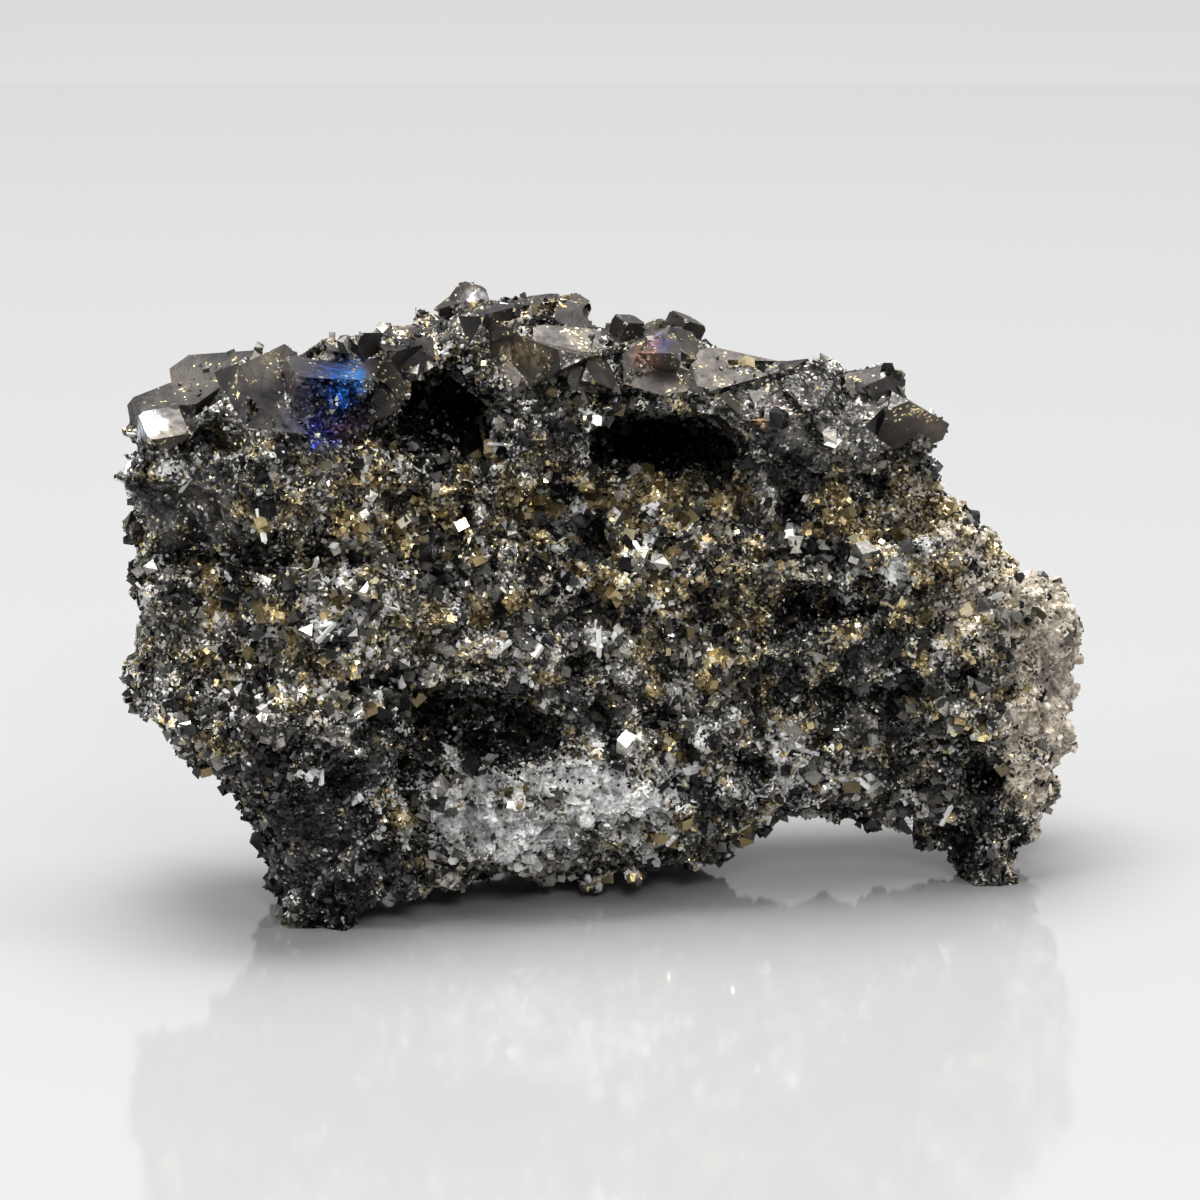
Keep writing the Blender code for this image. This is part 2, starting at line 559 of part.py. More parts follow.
def carve(rock):
    """Opens the hollows, steps the front and works the whole surface."""
    remesh(rock, CARVE_VOXEL, 1)
    shape_front(rock)
    remesh(rock, CARVE_VOXEL, 0)
    tree = surface_of(rock)
    cutters = joined("hollows", [hollow_cutter(tree, *hollow) for hollow in HOLLOWS])
    remesh(cutters, CARVE_VOXEL, 0)
    combine(rock, cutters, "DIFFERENCE")
    remesh(rock, ROCK_VOXEL, 0)
    push_out(rock, worked_surface)
    remesh(rock, ROCK_VOXEL, 0)
    combine(rock, undercut_cutter(), "DIFFERENCE")
    remesh(rock, ROCK_VOXEL, 0)


def is_closed(mesh):
    work = bmesh.new()
    work.from_mesh(mesh)
    closed = all(len(edge.link_faces) == 2 for edge in work.edges)
    work.free()
    return closed


def thin_out(rock):
    """Fewer, larger faces, which suit broken rock: the first count that keeps the skin closed."""
    fine = rock.data.copy()
    fine.calc_loop_triangles()
    triangles = ROCK_TRIANGLES
    while True:
        fewer = rock.modifiers.new("fewer", "DECIMATE")
        fewer.ratio = triangles / len(fine.loop_triangles)
        apply_modifiers(rock)
        if is_closed(rock.data) or triangles > 1.3 * ROCK_TRIANGLES:
            break
        triangles += 60
        rock.data = fine.copy()
    print("the rock keeps", triangles, "triangles")


def largest_body(obj):
    """Drops loose crumbs, so that one closed body is left."""
    work = bmesh.new()
    work.from_mesh(obj.data)
    unseen, bodies = set(work.verts), []
    while unseen:
        body, front = set(), [unseen.pop()]
        while front:
            vertex = front.pop()
            body.add(vertex)
            near = {edge.other_vert(vertex) for edge in vertex.link_edges} & unseen
            unseen -= near
            front += near
        bodies.append(body)
    bodies.sort(key=len)
    for crumb in bodies[:-1]:
        bmesh.ops.delete(work, geom=list(crumb), context="VERTS")
    work.to_mesh(obj.data)
    work.free()


def centre_on_base(obj):
    """Puts the origin at the middle of the piece's box, on the ground."""
    points = [v.co for v in obj.data.vertices]
    low = Vector(min(p[axis] for p in points) for axis in range(3))
    high = Vector(max(p[axis] for p in points) for axis in range(3))
    shift = Vector((-(low.x + high.x) / 2, -(low.y + high.y) / 2, -low.z))
    print("moved to its base by", tuple(round(s, 3) for s in shift), "mm")
    obj.data.transform(Matrix.Scale(METRES_PER_MM, 4) @ Matrix.Translation(shift))


def tetrahedrite_material():
    material = bpy.data.materials.new("tetrahedrite")
    material.use_nodes = True
    shader = material.node_tree.nodes["Principled BSDF"]
    shader.inputs["Base Color"].default_value = (0.11, 0.105, 0.09, 1.0)
    shader.inputs["Metallic"].default_value = 0.7
    shader.inputs["Roughness"].default_value = 0.42
    return material


def build():
    clear_scene()
    noise.seed_set(SEED)
    cluster = rock_mass()
    carve(cluster)
    largest_body(cluster)
    thin_out(cluster)
    tree = surface_of(cluster)
    crystals = joined("crystals", large_crystals(tree) + small_crystals(tree))
    combine(cluster, crystals, "UNION", other_crosses_itself=True)
    combine(cluster, floor_cutter(), "DIFFERENCE")
    largest_body(cluster)
    centre_on_base(cluster)
    cluster.name = "tetrahedrite_cluster"
    cluster.data.name = cluster.name
    cluster.data.materials.clear()
    cluster.data.materials.append(tetrahedrite_material())


build()
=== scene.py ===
"""Looks of the tetrahedrite cluster: a finely worked crust with thousands of small crystals on it."""

import math

import bmesh
import bpy
import numpy as np
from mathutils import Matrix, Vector, noise


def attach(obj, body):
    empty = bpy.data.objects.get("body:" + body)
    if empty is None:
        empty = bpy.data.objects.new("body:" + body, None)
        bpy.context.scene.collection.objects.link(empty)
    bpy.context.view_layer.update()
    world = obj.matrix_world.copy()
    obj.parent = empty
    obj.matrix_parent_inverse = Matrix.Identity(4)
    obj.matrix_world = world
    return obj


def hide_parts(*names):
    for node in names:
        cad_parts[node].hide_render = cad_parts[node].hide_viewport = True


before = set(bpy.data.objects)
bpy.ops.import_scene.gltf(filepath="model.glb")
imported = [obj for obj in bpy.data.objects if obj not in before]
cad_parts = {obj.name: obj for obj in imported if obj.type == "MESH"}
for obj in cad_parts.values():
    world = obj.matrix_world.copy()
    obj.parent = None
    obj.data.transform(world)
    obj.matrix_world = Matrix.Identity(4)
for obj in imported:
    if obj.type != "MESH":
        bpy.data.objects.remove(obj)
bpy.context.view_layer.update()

NODE = "tetrahedrite_cluster"
MM = 0.001
SEED = 7
noise.seed_set(SEED)

# The front plane leans back by the camera's height angle: u runs right on it and v up, both in mm.
# The shift is from that plane's frame to the part's own.
FRONT_LEAN = math.radians(14)
LEAN_SIN, LEAN_COS = math.sin(FRONT_LEAN), math.cos(FRONT_LEAN)
PART_SHIFT = np.array((-0.266, -2.064, 0.0))

# Framing: the picture is 1200 wide, and a millimetre takes so many of its pixels. The lens looks at the place
# that is seen at PICTURE_CENTRE (u, v) and lies at PICTURE_DEPTH along Y, in mm before the shift.
PIXELS_PER_MM = 18.8
PICTURE_WIDTH = 1200
PICTURE_CENTRE = (-0.2, 15.74)
PICTURE_DEPTH = 3.5
LENS_MM = 250.0
SENSOR_MM = 36.0

# Far edge of the board that the piece stands on, and how far the stage reaches, in metres
BOARD_EDGE = 0.2355
STAGE_REACH = 2

# Tone of the room all round, and behind the camera, where it is dark
ROOM_TONE = (0.74, 0.74, 0.75, 1)
DARK_TONE = (0.06, 0.06, 0.065, 1)
ROOM_STRENGTH = 0.8

# Crust, in mm: points nearer than this are one, and the longest edge in front and elsewhere. Edges are
# halved at most so many times.
MERGE_DISTANCE = 0.0005
FRONT_EDGE = 0.36
BACK_EDGE = 0.66
MOST_HALVINGS = 5

# Relief: how deep it goes in mm, which height of it stays on the solid's surface, how much of it smooth
# ground loses, and how high over the ground it starts
RELIEF_DEPTH = 0.85
RELIEF_MIDDLE = 0.74
SMOOTHING = 0.85
FOOT_HEIGHT = 0.10

# Periods of the relief for each mm: broad swells, knobs, and fine knobs on those
SWELL_SCALE = 0.45
KNOB_SCALE = 0.62
FINE_KNOB_SCALE = 1.7

# Large crystal faces: the least area in square mm, how nearly flat (cosine), and the v that they start at.
# The blue patch and the dull rock right of the crest have none: (u, v, half width, half height).
FACET_AREA = 0.9
FACET_FLAT = math.cos(math.radians(0.4))
CREST_LINE = 23.8
NO_FACETS = [(-13.9, 25.9, 1.9, 2.2), (10.2, 27.0, 3.4, 2.8)]

# Grains for each square millimetre of crust, in front and elsewhere
FRONT_DENSITY = 15.0
BACK_DENSITY = 8.0

# The minerals, in the order of the columns in a table of their weights
MINERALS = ("dark", "grey", "pyrite", "quartz", "beige", "tarnish")

# Clumps of one mineral: periods for each mm, and how strongly they stand out
CLUMP_SCALE = 0.7
CLUMP_STRENGTH = 5.0

# Shares of the minerals where there is no patch
COMMON = {"dark": 0.80, "grey": 0.95, "pyrite": 0.34, "quartz": 0.20, "beige": 0.07, "tarnish": 0.0}

# Patches seen from the front: (mineral, u, v, half width, half height, strength)
FRONT_PATCHES = [
    ("pyrite", -9.0, 21.6, 9.0, 2.6, 2.6),
    ("pyrite", -19.0, 20.2, 1.0, 1.4, 3.0),
    ("pyrite", -11.4, 20.9, 0.9, 0.8, 6.0),
    ("pyrite", -10.2, 18.9, 0.7, 0.6, 6.0),
    ("pyrite", -3.9, 15.5, 1.4, 0.8, 8.0),
    ("pyrite", -3.0, 19.4, 5.0, 1.8, 1.8),
    ("pyrite", -8.6, 14.9, 2.4, 0.6, 4.0),
    ("pyrite", 1.7, 17.3, 1.0, 0.7, 8.0),
    ("pyrite", 4.6, 16.6, 5.6, 2.6, 2.4),
    ("pyrite", 3.0, 21.4, 2.8, 0.9, 40.0),
    ("pyrite", 6.4, 21.2, 1.6, 1.2, 16.0),
    ("pyrite", 17.6, 18.6, 3.6, 3.2, 6.0),
    ("pyrite", 16.4, 20.8, 1.5, 1.5, 24.0),
    ("pyrite", 13.0, 20.0, 2.6, 1.1, 20.0),
    ("pyrite", -15.0, 15.6, 5.0, 2.4, 1.2),
    ("pyrite", -13.0, 12.6, 7.0, 2.0, 0.9),
    ("pyrite", 9.0, 13.0, 8.0, 2.6, 0.9),
    ("pyrite", 21.0, 12.0, 3.4, 5.0, 1.0),
    ("pyrite", -4.6, 5.7, 1.1, 0.5, 400.0),
    ("pyrite", -11.2, 4.8, 1.1, 1.0, 100.0),
    ("pyrite", -11.0, 24.3, 0.6, 0.4, 6.0),
    ("pyrite", 11.6, 24.6, 0.5, 0.3, 6.0),
    ("quartz", -4.7, 5.0, 6.2, 1.9, 120.0),
    ("quartz", -13.4, 15.3, 2.1, 2.3, 4.0),
    ("quartz", 16.2, 17.8, 1.3, 1.2, 8.0),
    ("quartz", -1.3, 21.1, 0.9, 0.6, 8.0),
    ("quartz", -6.1, 13.2, 0.7, 0.9, 7.0),
    ("quartz", -0.2, 14.5, 0.5, 1.0, 7.0),
    ("quartz", 0.9, 13.6, 0.5, 0.7, 7.0),
    ("quartz", 2.0, 18.6, 0.6, 0.6, 6.0),
    ("quartz", 3.8, 16.7, 0.7, 0.6, 6.0),
    ("quartz", -2.0, 1.8, 4.6, 1.2, 1.8),
    ("quartz", 8.6, 6.4, 4.0, 2.2, 1.4),
    ("quartz", 5.0, 9.0, 1.0, 1.4, 2.0),
    ("quartz", -1.4, 23.6, 0.6, 0.5, 5.0),
    ("quartz", -9.2, 22.8, 1.0, 0.6, 4.0),
    ("beige", 25.2, 9.6, 2.7, 9.4, 70.0),
    ("beige", 23.9, 15.4, 2.6, 2.2, 40.0),
    ("beige", 20.0, 13.7, 0.7, 0.6, 6.0),
    ("beige", 22.4, 8.0, 1.8, 5.0, 1.2),
    ("beige", 17.0, 20.6, 2.0, 1.6, 8.0),
    ("beige", 19.4, 17.2, 1.8, 3.2, 8.0),
    ("beige", -1.3, 0.5, 2.6, 1.0, 5.0),
    ("beige", -8.4, 0.0, 2.8, 0.9, 5.0),
    ("beige", -13.9, 28.6, 0.9, 0.6, 9.0),
    ("beige", -10.8, 30.6, 0.9, 0.5, 6.0),
    ("beige", 3.9, 30.3, 0.8, 0.6, 5.0),
    ("grey", 11.6, 25.6, 7.6, 3.2, 5.0),
    ("dark", 11.6, 25.6, 7.6, 3.2, 7.0),
    ("grey", -19.4, 26.4, 6.0, 2.4, 5.0),
    ("grey", -17.9, 25.2, 2.2, 1.6, 8.0),
    ("grey", -3.6, 25.2, 2.4, 2.8, 6.0),
    ("grey", 8.0, 9.0, 10.0, 3.0, 1.0),
    ("grey", 20.6, 14.6, 1.0, 1.0, 6.0),
    ("grey", 22.4, 12.5, 1.0, 0.7, 6.0),
    ("grey", 20.8, 11.4, 0.9, 0.9, 6.0),
    ("grey", -16.0, 9.4, 6.0, 1.6, 1.4),
    ("grey", -21.0, 14.0, 3.0, 2.0, 1.6),
    # Partly painted shade: dark crystals of the lower left block, made stronger where it lies in shade under
    # the ledge
    ("dark", -15.0, 3.2, 4.6, 4.4, 50.0),
    ("dark", -21.0, 20.0, 3.0, 2.4, 4.0),
    # Partly painted shade: the darkest mineral in the middle hollow and in the two hollows of the crest,
    # which lie in shade
    ("dark", -7.0, 8.9, 4.2, 2.0, 14.0),
    ("dark", -9.2, 25.2, 2.8, 2.0, 90.0),
    ("dark", 2.9, 23.9, 4.0, 1.2, 90.0),
    ("dark", -6.0, 19.0, 4.6, 1.0, 4.0),
    # Partly painted shade: the darkest mineral on a groove that lies in shade
    ("dark", -0.6, 18.8, 2.0, 1.2, 5.0),
    ("dark", 11.0, 22.3, 5.4, 0.9, 8.0),
    # Partly painted shade: the darkest mineral on a groove that lies in shade
    ("dark", 12.4, 15.6, 4.6, 1.0, 7.0),
    ("dark", 12.6, 12.4, 4.4, 2.6, 4.0),
    # Partly painted shade: the darkest mineral on a groove that lies in shade
    ("dark", 13.0, 10.4, 4.4, 0.9, 6.0),
    # Partly painted shade: the darkest mineral on a groove that lies in shade
    ("dark", 3.4, 15.0, 2.2, 0.9, 4.0),
    # Partly painted shade: the darkest mineral on a groove that lies in shade
    ("dark", -17.6, 18.0, 6.6, 0.8, 4.0),
    ("dark", -19.0, 16.4, 2.4, 1.6, 2.0),
    ("dark", 20.0, 2.6, 2.8, 2.4, 8.0),
    # Partly painted shade: the darkest mineral in a hollow that lies in shade
    ("dark", 20.0, 6.2, 1.3, 1.1, 9.0),
    ("tarnish", -13.8, 26.0, 1.6, 2.0, 80.0),
    ("tarnish", -14.8, 24.6, 1.0, 1.2, 60.0),
]

# Patches on the sides and the back, in the part's own x and z, in mm
BACK_PATCHES = [
    ("pyrite", -12.0, 20.0, 7.0, 3.0, 2.0),
    ("pyrite", 12.0, 14.0, 6.0, 4.0, 1.8),
    ("quartz", 2.0, 9.0, 6.0, 2.4, 7.0),
    ("quartz", -14.0, 9.0, 3.0, 2.4, 3.0),
    ("beige", 24.0, 10.0, 4.0, 9.0, 14.0),
    ("beige", -2.0, 16.0, 5.0, 3.6, 2.4),
    ("grey", 8.0, 25.0, 8.0, 3.4, 3.0),
    ("dark", -18.0, 4.0, 5.0, 5.0, 5.0),
]

# Smooth ground where the relief is low and grains are few: (u, v, half width, half height, how smooth)
SMOOTH_GROUND = [
    (-20.4, 27.4, 4.4, 1.5, 0.95), (-22.6, 25.0, 2.2, 1.8, 0.9), (-16.2, 26.6, 1.6, 1.8, 0.9),
    (-11.6, 28.6, 2.0, 1.6, 0.8), (-7.0, 31.0, 1.8, 1.5, 0.9), (-2.8, 28.6, 4.2, 1.6, 0.9),
    (3.2, 28.8, 2.6, 1.7, 0.8), (15.8, 25.6, 2.4, 1.9, 0.95), (9.0, 27.0, 4.4, 1.8, 0.75),
    (11.8, 24.6, 4.6, 1.9, 0.7), (-21.6, 20.3, 2.9, 2.2, 0.9), (-18.0, 25.0, 2.2, 1.3, 0.4),
    (-15.6, 2.8, 3.4, 3.2, 0.5), (-12.4, 7.2, 1.8, 1.0, 0.5), (12.6, 12.8, 3.4, 1.4, 0.4),
]

# Gaps between the crystals, where the crust lies deeper: (u, v, half width, half height, depth in mm)
GAPS = [
    (-9.2, 25.2, 2.6, 1.9, 0.9), (2.9, 23.9, 3.9, 1.2, 1.0), (-0.4, 19.0, 0.8, 0.8, 1.0),
    (-7.6, 18.4, 0.6, 1.0, 1.0), (-4.2, 17.5, 0.5, 0.8, 0.9), (-6.8, 9.0, 3.8, 1.6, 0.7),
    (-20.4, 24.0, 1.7, 0.7, 0.9), (-17.6, 17.9, 5.6, 0.4, 0.8), (19.3, 11.6, 0.5, 0.6, 1.0),
    (19.6, 15.7, 0.3, 0.7, 0.8), (12.0, 15.3, 3.6, 0.4, 0.8), (13.2, 10.6, 3.8, 0.4, 0.8),
    (20.0, 6.2, 1.1, 1.0, 0.9), (11.4, 24.4, 0.6, 1.3, 0.8), (-15.4, 6.0, 1.6, 1.0, 0.8),
    (-10.6, 20.7, 1.0, 0.4, 0.8), (4.2, 14.6, 1.5, 0.4, 0.8), (-1.0, 12.2, 1.4, 0.4, 0.7),
    (8.6, 18.2, 1.6, 0.5, 0.8), (-12.8, 11.4, 2.0, 0.4, 0.7),
]

# Tarnish films seen from the front, and two pale ones that are painted reflections on mirror-like crystal
# faces, none of them deeper than this many mm behind the front plane:
# (u, v, half width, half height, colour, strength)
FILM_DEPTH = 5.0
FILMS = [
    (-15.2, 26.5, 1.5, 2.0, (0.030, 0.032, 0.062), 0.95),
    (-15.8, 27.0, 0.9, 0.8, (0.070, 0.046, 0.056), 0.8),
    (-13.6, 26.5, 1.3, 1.9, (0.010, 0.060, 0.250), 1.0),
    (-12.9, 27.0, 0.6, 1.0, (0.020, 0.150, 0.440), 0.9),
    (-14.5, 24.6, 0.9, 1.2, (0.026, 0.034, 0.200), 1.0),
    (-13.1, 24.8, 0.9, 0.6, (0.110, 0.036, 0.110), 0.8),
    (-11.2, 24.2, 0.6, 0.5, (0.500, 0.300, 0.100), 0.6),
    (2.1, 28.4, 0.7, 0.8, (0.380, 0.200, 0.140), 0.6),
    (2.6, 29.2, 0.6, 0.5, (0.280, 0.130, 0.180), 0.6),
    (3.1, 29.0, 0.5, 0.6, (0.090, 0.080, 0.220), 0.6),
    (9.4, 26.2, 1.1, 0.7, (0.120, 0.070, 0.075), 0.3),
    (8.0, 25.0, 0.5, 0.4, (0.460, 0.260, 0.100), 0.5),
    # Painted reflection: a pale patch where a mirror-like crystal face at the top left shows the light
    (-23.6, 24.8, 0.8, 0.7, (0.700, 0.740, 0.800), 0.85),
    (-4.3, 28.6, 1.4, 0.6, (0.360, 0.280, 0.160), 0.6),
    (-10.8, 30.4, 0.6, 0.4, (0.600, 0.500, 0.420), 0.7),
    # Painted reflection: a pale patch where a mirror-like face on the crest shows the light
    (-7.0, 31.7, 0.7, 0.5, (0.700, 0.660, 0.680), 0.8),
]

# Grain sizes in mm: half widths of the common small ones and of the rare largest
GRAIN_SIZE = {
    "dark": (0.08, 0.36), "grey": (0.08, 0.34), "pyrite": (0.07, 0.24),
    "quartz": (0.07, 0.26), "beige": (0.08, 0.24), "tarnish": (0.06, 0.16),
}

# How strongly small grains outnumber large ones, and how deep a grain sits, as parts of its half width
SIZE_SKEW = 2.4
SUNK = (-0.35, 0.25)

# Part of the dark and grey grains are coarse crystals set deep in the crust
COARSE_SHARE = 0.05
COARSE_SIZE = (0.30, 0.66)
COARSE_SUNK = (0.3, 0.8)

# Part of the grains that a large crystal face is free of
CRYSTAL_BARE = 0.92

# No grain's root is lower than the first of these over the ground, and no corner lower than the second, in mm
LOWEST_ROOT = 0.15
LOWEST_CORNER = 0.02

# Details that are left to the materials, in mm: grains too small for a shape, which are cells of the crust's
# material, golden dust on the crystal faces, and the growth steps of those faces
CELL_SIZE = 0.17
DUST_SIZE = 0.12
STEP_SIZE = 2.6

# Keeps a divisor above zero
TINY = 1e-6


def to_front(points):
    """(u, v) in mm of points given in mm in the part's frame."""
    own = points - PART_SHIFT
    return own[:, 0], own[:, 2] * LEAN_COS + own[:, 1] * LEAN_SIN


def patch(u, v, middle_u, middle_v, half_u, half_v):
    """1 inside an oval patch, falling to 0 over its rim."""
    return np.exp(-(((u - middle_u) / half_u) ** 2 + ((v - middle_v) / half_v) ** 2) ** 2)


def frontness(normals):
    """1 where the surface is seen from the front, 0 where it looks away."""
    facing = -(normals[:, 1] * LEAN_COS - normals[:, 2] * LEAN_SIN)
    return np.clip((facing + 0.25) * 3.0, 0, 1)


def smoothness(u, v, front):
    """How smooth the ground is at each place, 0 to 1."""
    total = np.zeros(len(u))
    for middle_u, middle_v, half_u, half_v, how_smooth in SMOOTH_GROUND:
        total = np.maximum(total, how_smooth * patch(u, v, middle_u, middle_v, half_u, half_v))
    return total * front


def relief(point):
    """Height of the fine relief at a point in mm, 0 to 1: rounded knobs with deep grooves between."""
    broad = noise.noise(point * SWELL_SCALE + Vector((5, 2, 7)))
    coarse = noise.voronoi(point * KNOB_SCALE)[0]
    fine = noise.voronoi(point * FINE_KNOB_SCALE + Vector((3, 8, 1)))[0]
    knobs = 0.58 * min(1.0, 1.7 * (coarse[1] - coarse[0])) + 0.34 * min(1.0, 1.9 * (fine[1] - fine[0]))
    return max(0.0, knobs + 0.08 + 0.5 * min(0.0, broad + 0.1))


def gap_depth(u, v, front):
    """How much deeper the crust lies in the gaps, in mm."""
    depth = np.zeros(len(u))
    for middle_u, middle_v, half_u, half_v, most in GAPS:
        depth = np.maximum(depth, most * patch(u, v, middle_u, middle_v, half_u, half_v))
    return depth * front


def wandered(places, size, reach):
    """(u, v) of places moved about by noise, so that patches get uneven edges."""
    wander = np.array([noise.noise_vector(Vector(p) / size) for p in places])
    u, v = to_front(places)
    return u + reach * wander[:, 0], v + 0.75 * reach * wander[:, 1]


def tone(places, heights, gap):
    """Brightness of each place: clumps darker or paler than the rest at random, and painted shade that
    darkens grooves and gaps.
    """
    clumps = np.array([
        noise.noise(Vector(p) * 0.55 + Vector((9, 4, 1))) + 0.7 * noise.noise(Vector(p) * 1.4) for p in places
    ])
    # Painted shade: 1 out in the open, falling towards 0 low in the relief and in the gaps
    painted_shade_openness = np.clip((heights - 0.12) * 2.2, 0, 1) * np.clip(1.0 - 1.1 * gap, 0, 1)
    return np.clip(np.exp(1.5 * clumps), 0.35, 2.0) * (0.10 + 0.90 * painted_shade_openness)


def mineral_weights(places, front):
    """The weight of each mineral at each place: the patches with uneven edges, and clumps of each."""
    u, v = wandered(places, 2.2, 1.2)
    x, z = places[:, 0] + u - to_front(places)[0], places[:, 2] + v - to_front(places)[1]
    weights = {mineral: np.full(len(u), share) for mineral, share in COMMON.items()}
    for mineral, middle_u, middle_v, half_u, half_v, strength in FRONT_PATCHES:
        weights[mineral] += strength * front * patch(u, v, middle_u, middle_v, half_u, half_v)
    for mineral, middle_x, middle_z, half_x, half_z, strength in BACK_PATCHES:
        weights[mineral] += strength * (1 - front) * patch(x, z, middle_x, middle_z, half_x, half_z)
    table = np.stack([weights[mineral] for mineral in MINERALS], axis=1)
    shifts = [Vector((11.0 * n, 0, 0)) for n in range(len(MINERALS))]
    clumps = np.array([[noise.noise(Vector(p) * CLUMP_SCALE + shift) for shift in shifts] for p in places])
    table *= np.exp(CLUMP_STRENGTH * clumps)
    return table / table.sum(axis=1)[:, None]


def tarnish_and_painted_reflection(places, front):
    """(colour, strength) of the tarnish, and of the pale painted reflections, at each place."""
    u, v = wandered(places, 1.2, 0.6)
    depth = (places - PART_SHIFT)[:, 1]
    seen = front * np.clip((FILM_DEPTH - depth) / 1.5, 0, 1)
    colour = np.zeros((len(u), 3))
    strength = np.zeros(len(u))
    for middle_u, middle_v, half_u, half_v, tint_and_painted_light, most in FILMS:
        here = most * seen * patch(u, v, middle_u, middle_v, half_u, half_v)
        share = here / np.maximum(here + strength * (1 - here), TINY)
        colour += share[:, None] * (np.array(tint_and_painted_light) - colour)
        strength = np.maximum(strength, here)
    return colour, strength


def mark_crystal_faces(work):
    """Gives the second material to the faces that together make a large flat crystal face."""
    u, v = to_front(np.array([face.calc_center_median() for face in work.faces]))
    dull = np.max([patch(u, v, *area) for area in NO_FACETS], axis=0)
    dull *= np.array([-face.normal.y for face in work.faces])
    unseen = {face for face, able in zip(work.faces, (v > CREST_LINE) & (dull < 0.2)) if able}
    for start in work.faces:
        if start not in unseen:
            continue
        unseen.discard(start)
        region, edge_faces = [start], [start]
        while edge_faces:
            face = edge_faces.pop()
            near = {other for edge in face.edges for other in edge.link_faces} & unseen
            flat = [other for other in near if other.normal.dot(start.normal) > FACET_FLAT]
            unseen.difference_update(flat)
            region += flat
            edge_faces += flat
        area = sum(face.calc_area() for face in region)
        if area > FACET_AREA and len(region) > 1:
            for face in region:
                face.material_index = 1


def divide_finely(work):
    """Halves edges until they are short, shorter in front than elsewhere."""
    toward_camera = Vector((0, -LEAN_COS, LEAN_SIN))
    for _ in range(MOST_HALVINGS):
        long_edges = []
        for edge in work.edges:
            facing = max(face.normal.dot(toward_camera) for face in edge.link_faces)
            limit = FRONT_EDGE if facing > -0.05 else BACK_EDGE
            if edge.calc_length() > limit:
                long_edges.append(edge)
        if not long_edges:
            break
        bmesh.ops.subdivide_edges(work, edges=long_edges, cuts=1)
        bmesh.ops.triangulate(work, faces=[face for face in work.faces if len(face.verts) > 3])
        work.normal_update()


def paint(mesh, name, colours):
    """Keeps a colour at each point of the mesh, under a name that a material reads."""
    layer = mesh.color_attributes.new(name, "FLOAT_COLOR", "POINT")
    layer.data.foreach_set("color", colours.astype(np.float32).ravel())


def fine_crust(node):
    """The crust: the solid's surface divided finely, with knobs and grooves, and flat on the crystal faces.

    Its points carry what the material needs: shares of the minerals; the grey share, the clumps' tone with
    painted shade in grooves and gaps, and smoothness; and tarnish, with the pale painted reflections.
    """
    work = bmesh.new()
    work.from_mesh(node.data)
    bmesh.ops.scale(work, vec=Vector((1 / MM, 1 / MM, 1 / MM)), verts=work.verts)
    bmesh.ops.remove_doubles(work, verts=work.verts, dist=MERGE_DISTANCE)
    work.normal_update()
    for face in work.faces:
        face.material_index = 0
    mark_crystal_faces(work)
    divide_finely(work)
    places = np.array([vertex.co for vertex in work.verts])
    normals = np.array([vertex.normal for vertex in work.verts])
    on_crystal = np.array([any(face.material_index for face in vertex.link_faces) for vertex in work.verts])
    front = frontness(normals)
    u, v = to_front(places)
    smooth = smoothness(u, v, front)
    heights = np.array([relief(Vector(p)) for p in places])
    gap = gap_depth(u, v, front)
    shift = (heights - RELIEF_MIDDLE) * RELIEF_DEPTH * (1 - SMOOTHING * smooth) - gap
    shift[on_crystal | (places[:, 2] < FOOT_HEIGHT)] = 0.0
    moved = places + normals * shift[:, None]
    moved[:, 2] = np.maximum(moved[:, 2], 0.0)
    for vertex, place in zip(work.verts, moved * MM):
        vertex.co = place
    mesh = bpy.data.meshes.new("crust")
    work.to_mesh(mesh)
    work.free()

    dark, grey, gold, pale, earthy, _ = mineral_weights(places, front).T
    light = grey / (grey + dark + TINY)
    flat = np.maximum(smooth, on_crystal)
    # The clumps' tone with painted shade in grooves and gaps, less painted shade on smooth ground and crystal
    # faces
    shade = tone(places, np.maximum(heights, 0.6 * flat), gap * (1 - on_crystal))
    ones = np.ones(len(places))
    paint(mesh, "minerals", np.stack([gold, pale, earthy, ones], axis=1))
    paint(mesh, "grey_share_tone_painted_shade_smoothness", np.stack([light, shade, smooth, ones], axis=1))
    colour, strength = tarnish_and_painted_reflection(places, front)
    paint(mesh, "tarnish_and_painted_reflection", np.concatenate([colour, strength[:, None]], axis=1))
    return mesh


def add_piece(name, mesh, *materials):
    piece = bpy.data.objects.new(name, mesh)
    bpy.context.scene.collection.objects.link(piece)
    for material in materials:
        mesh.materials.append(material)
    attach(piece, "root")
    return piece


def triangle_corners(mesh):
    """(corner places in mm, 1 on large crystal faces) of every triangle."""
    mesh.calc_loop_triangles()
    places = np.empty(len(mesh.vertices) * 3)
    mesh.vertices.foreach_get("co", places)
    corners = np.empty(len(mesh.loop_triangles) * 3, dtype=np.int64)
    mesh.loop_triangles.foreach_get("vertices", corners)
    crystal = np.empty(len(mesh.loop_triangles), dtype=np.int32)
    mesh.loop_triangles.foreach_get("material_index", crystal)
    return places.reshape(-1, 3)[corners.reshape(-1, 3)] / MM, crystal


def scattered(corners, count, chance):
    """count places with their normals and triangles, spread evenly by area over the triangles."""
    across = np.cross(corners[:, 1] - corners[:, 0], corners[:, 2] - corners[:, 0])
    area = np.linalg.norm(across, axis=1)
    picked = chance.choice(len(area), count, p=area / area.sum())
    a, b = chance.random((2, count))
    over = a + b > 1
    a[over], b[over] = 1 - a[over], 1 - b[over]
    c = corners[picked]
    places = c[:, 0] + a[:, None] * (c[:, 1] - c[:, 0]) + b[:, None] * (c[:, 2] - c[:, 0])
    normals = across[picked] / np.maximum(area[picked], 1e-12)[:, None]
    return places, normals, picked


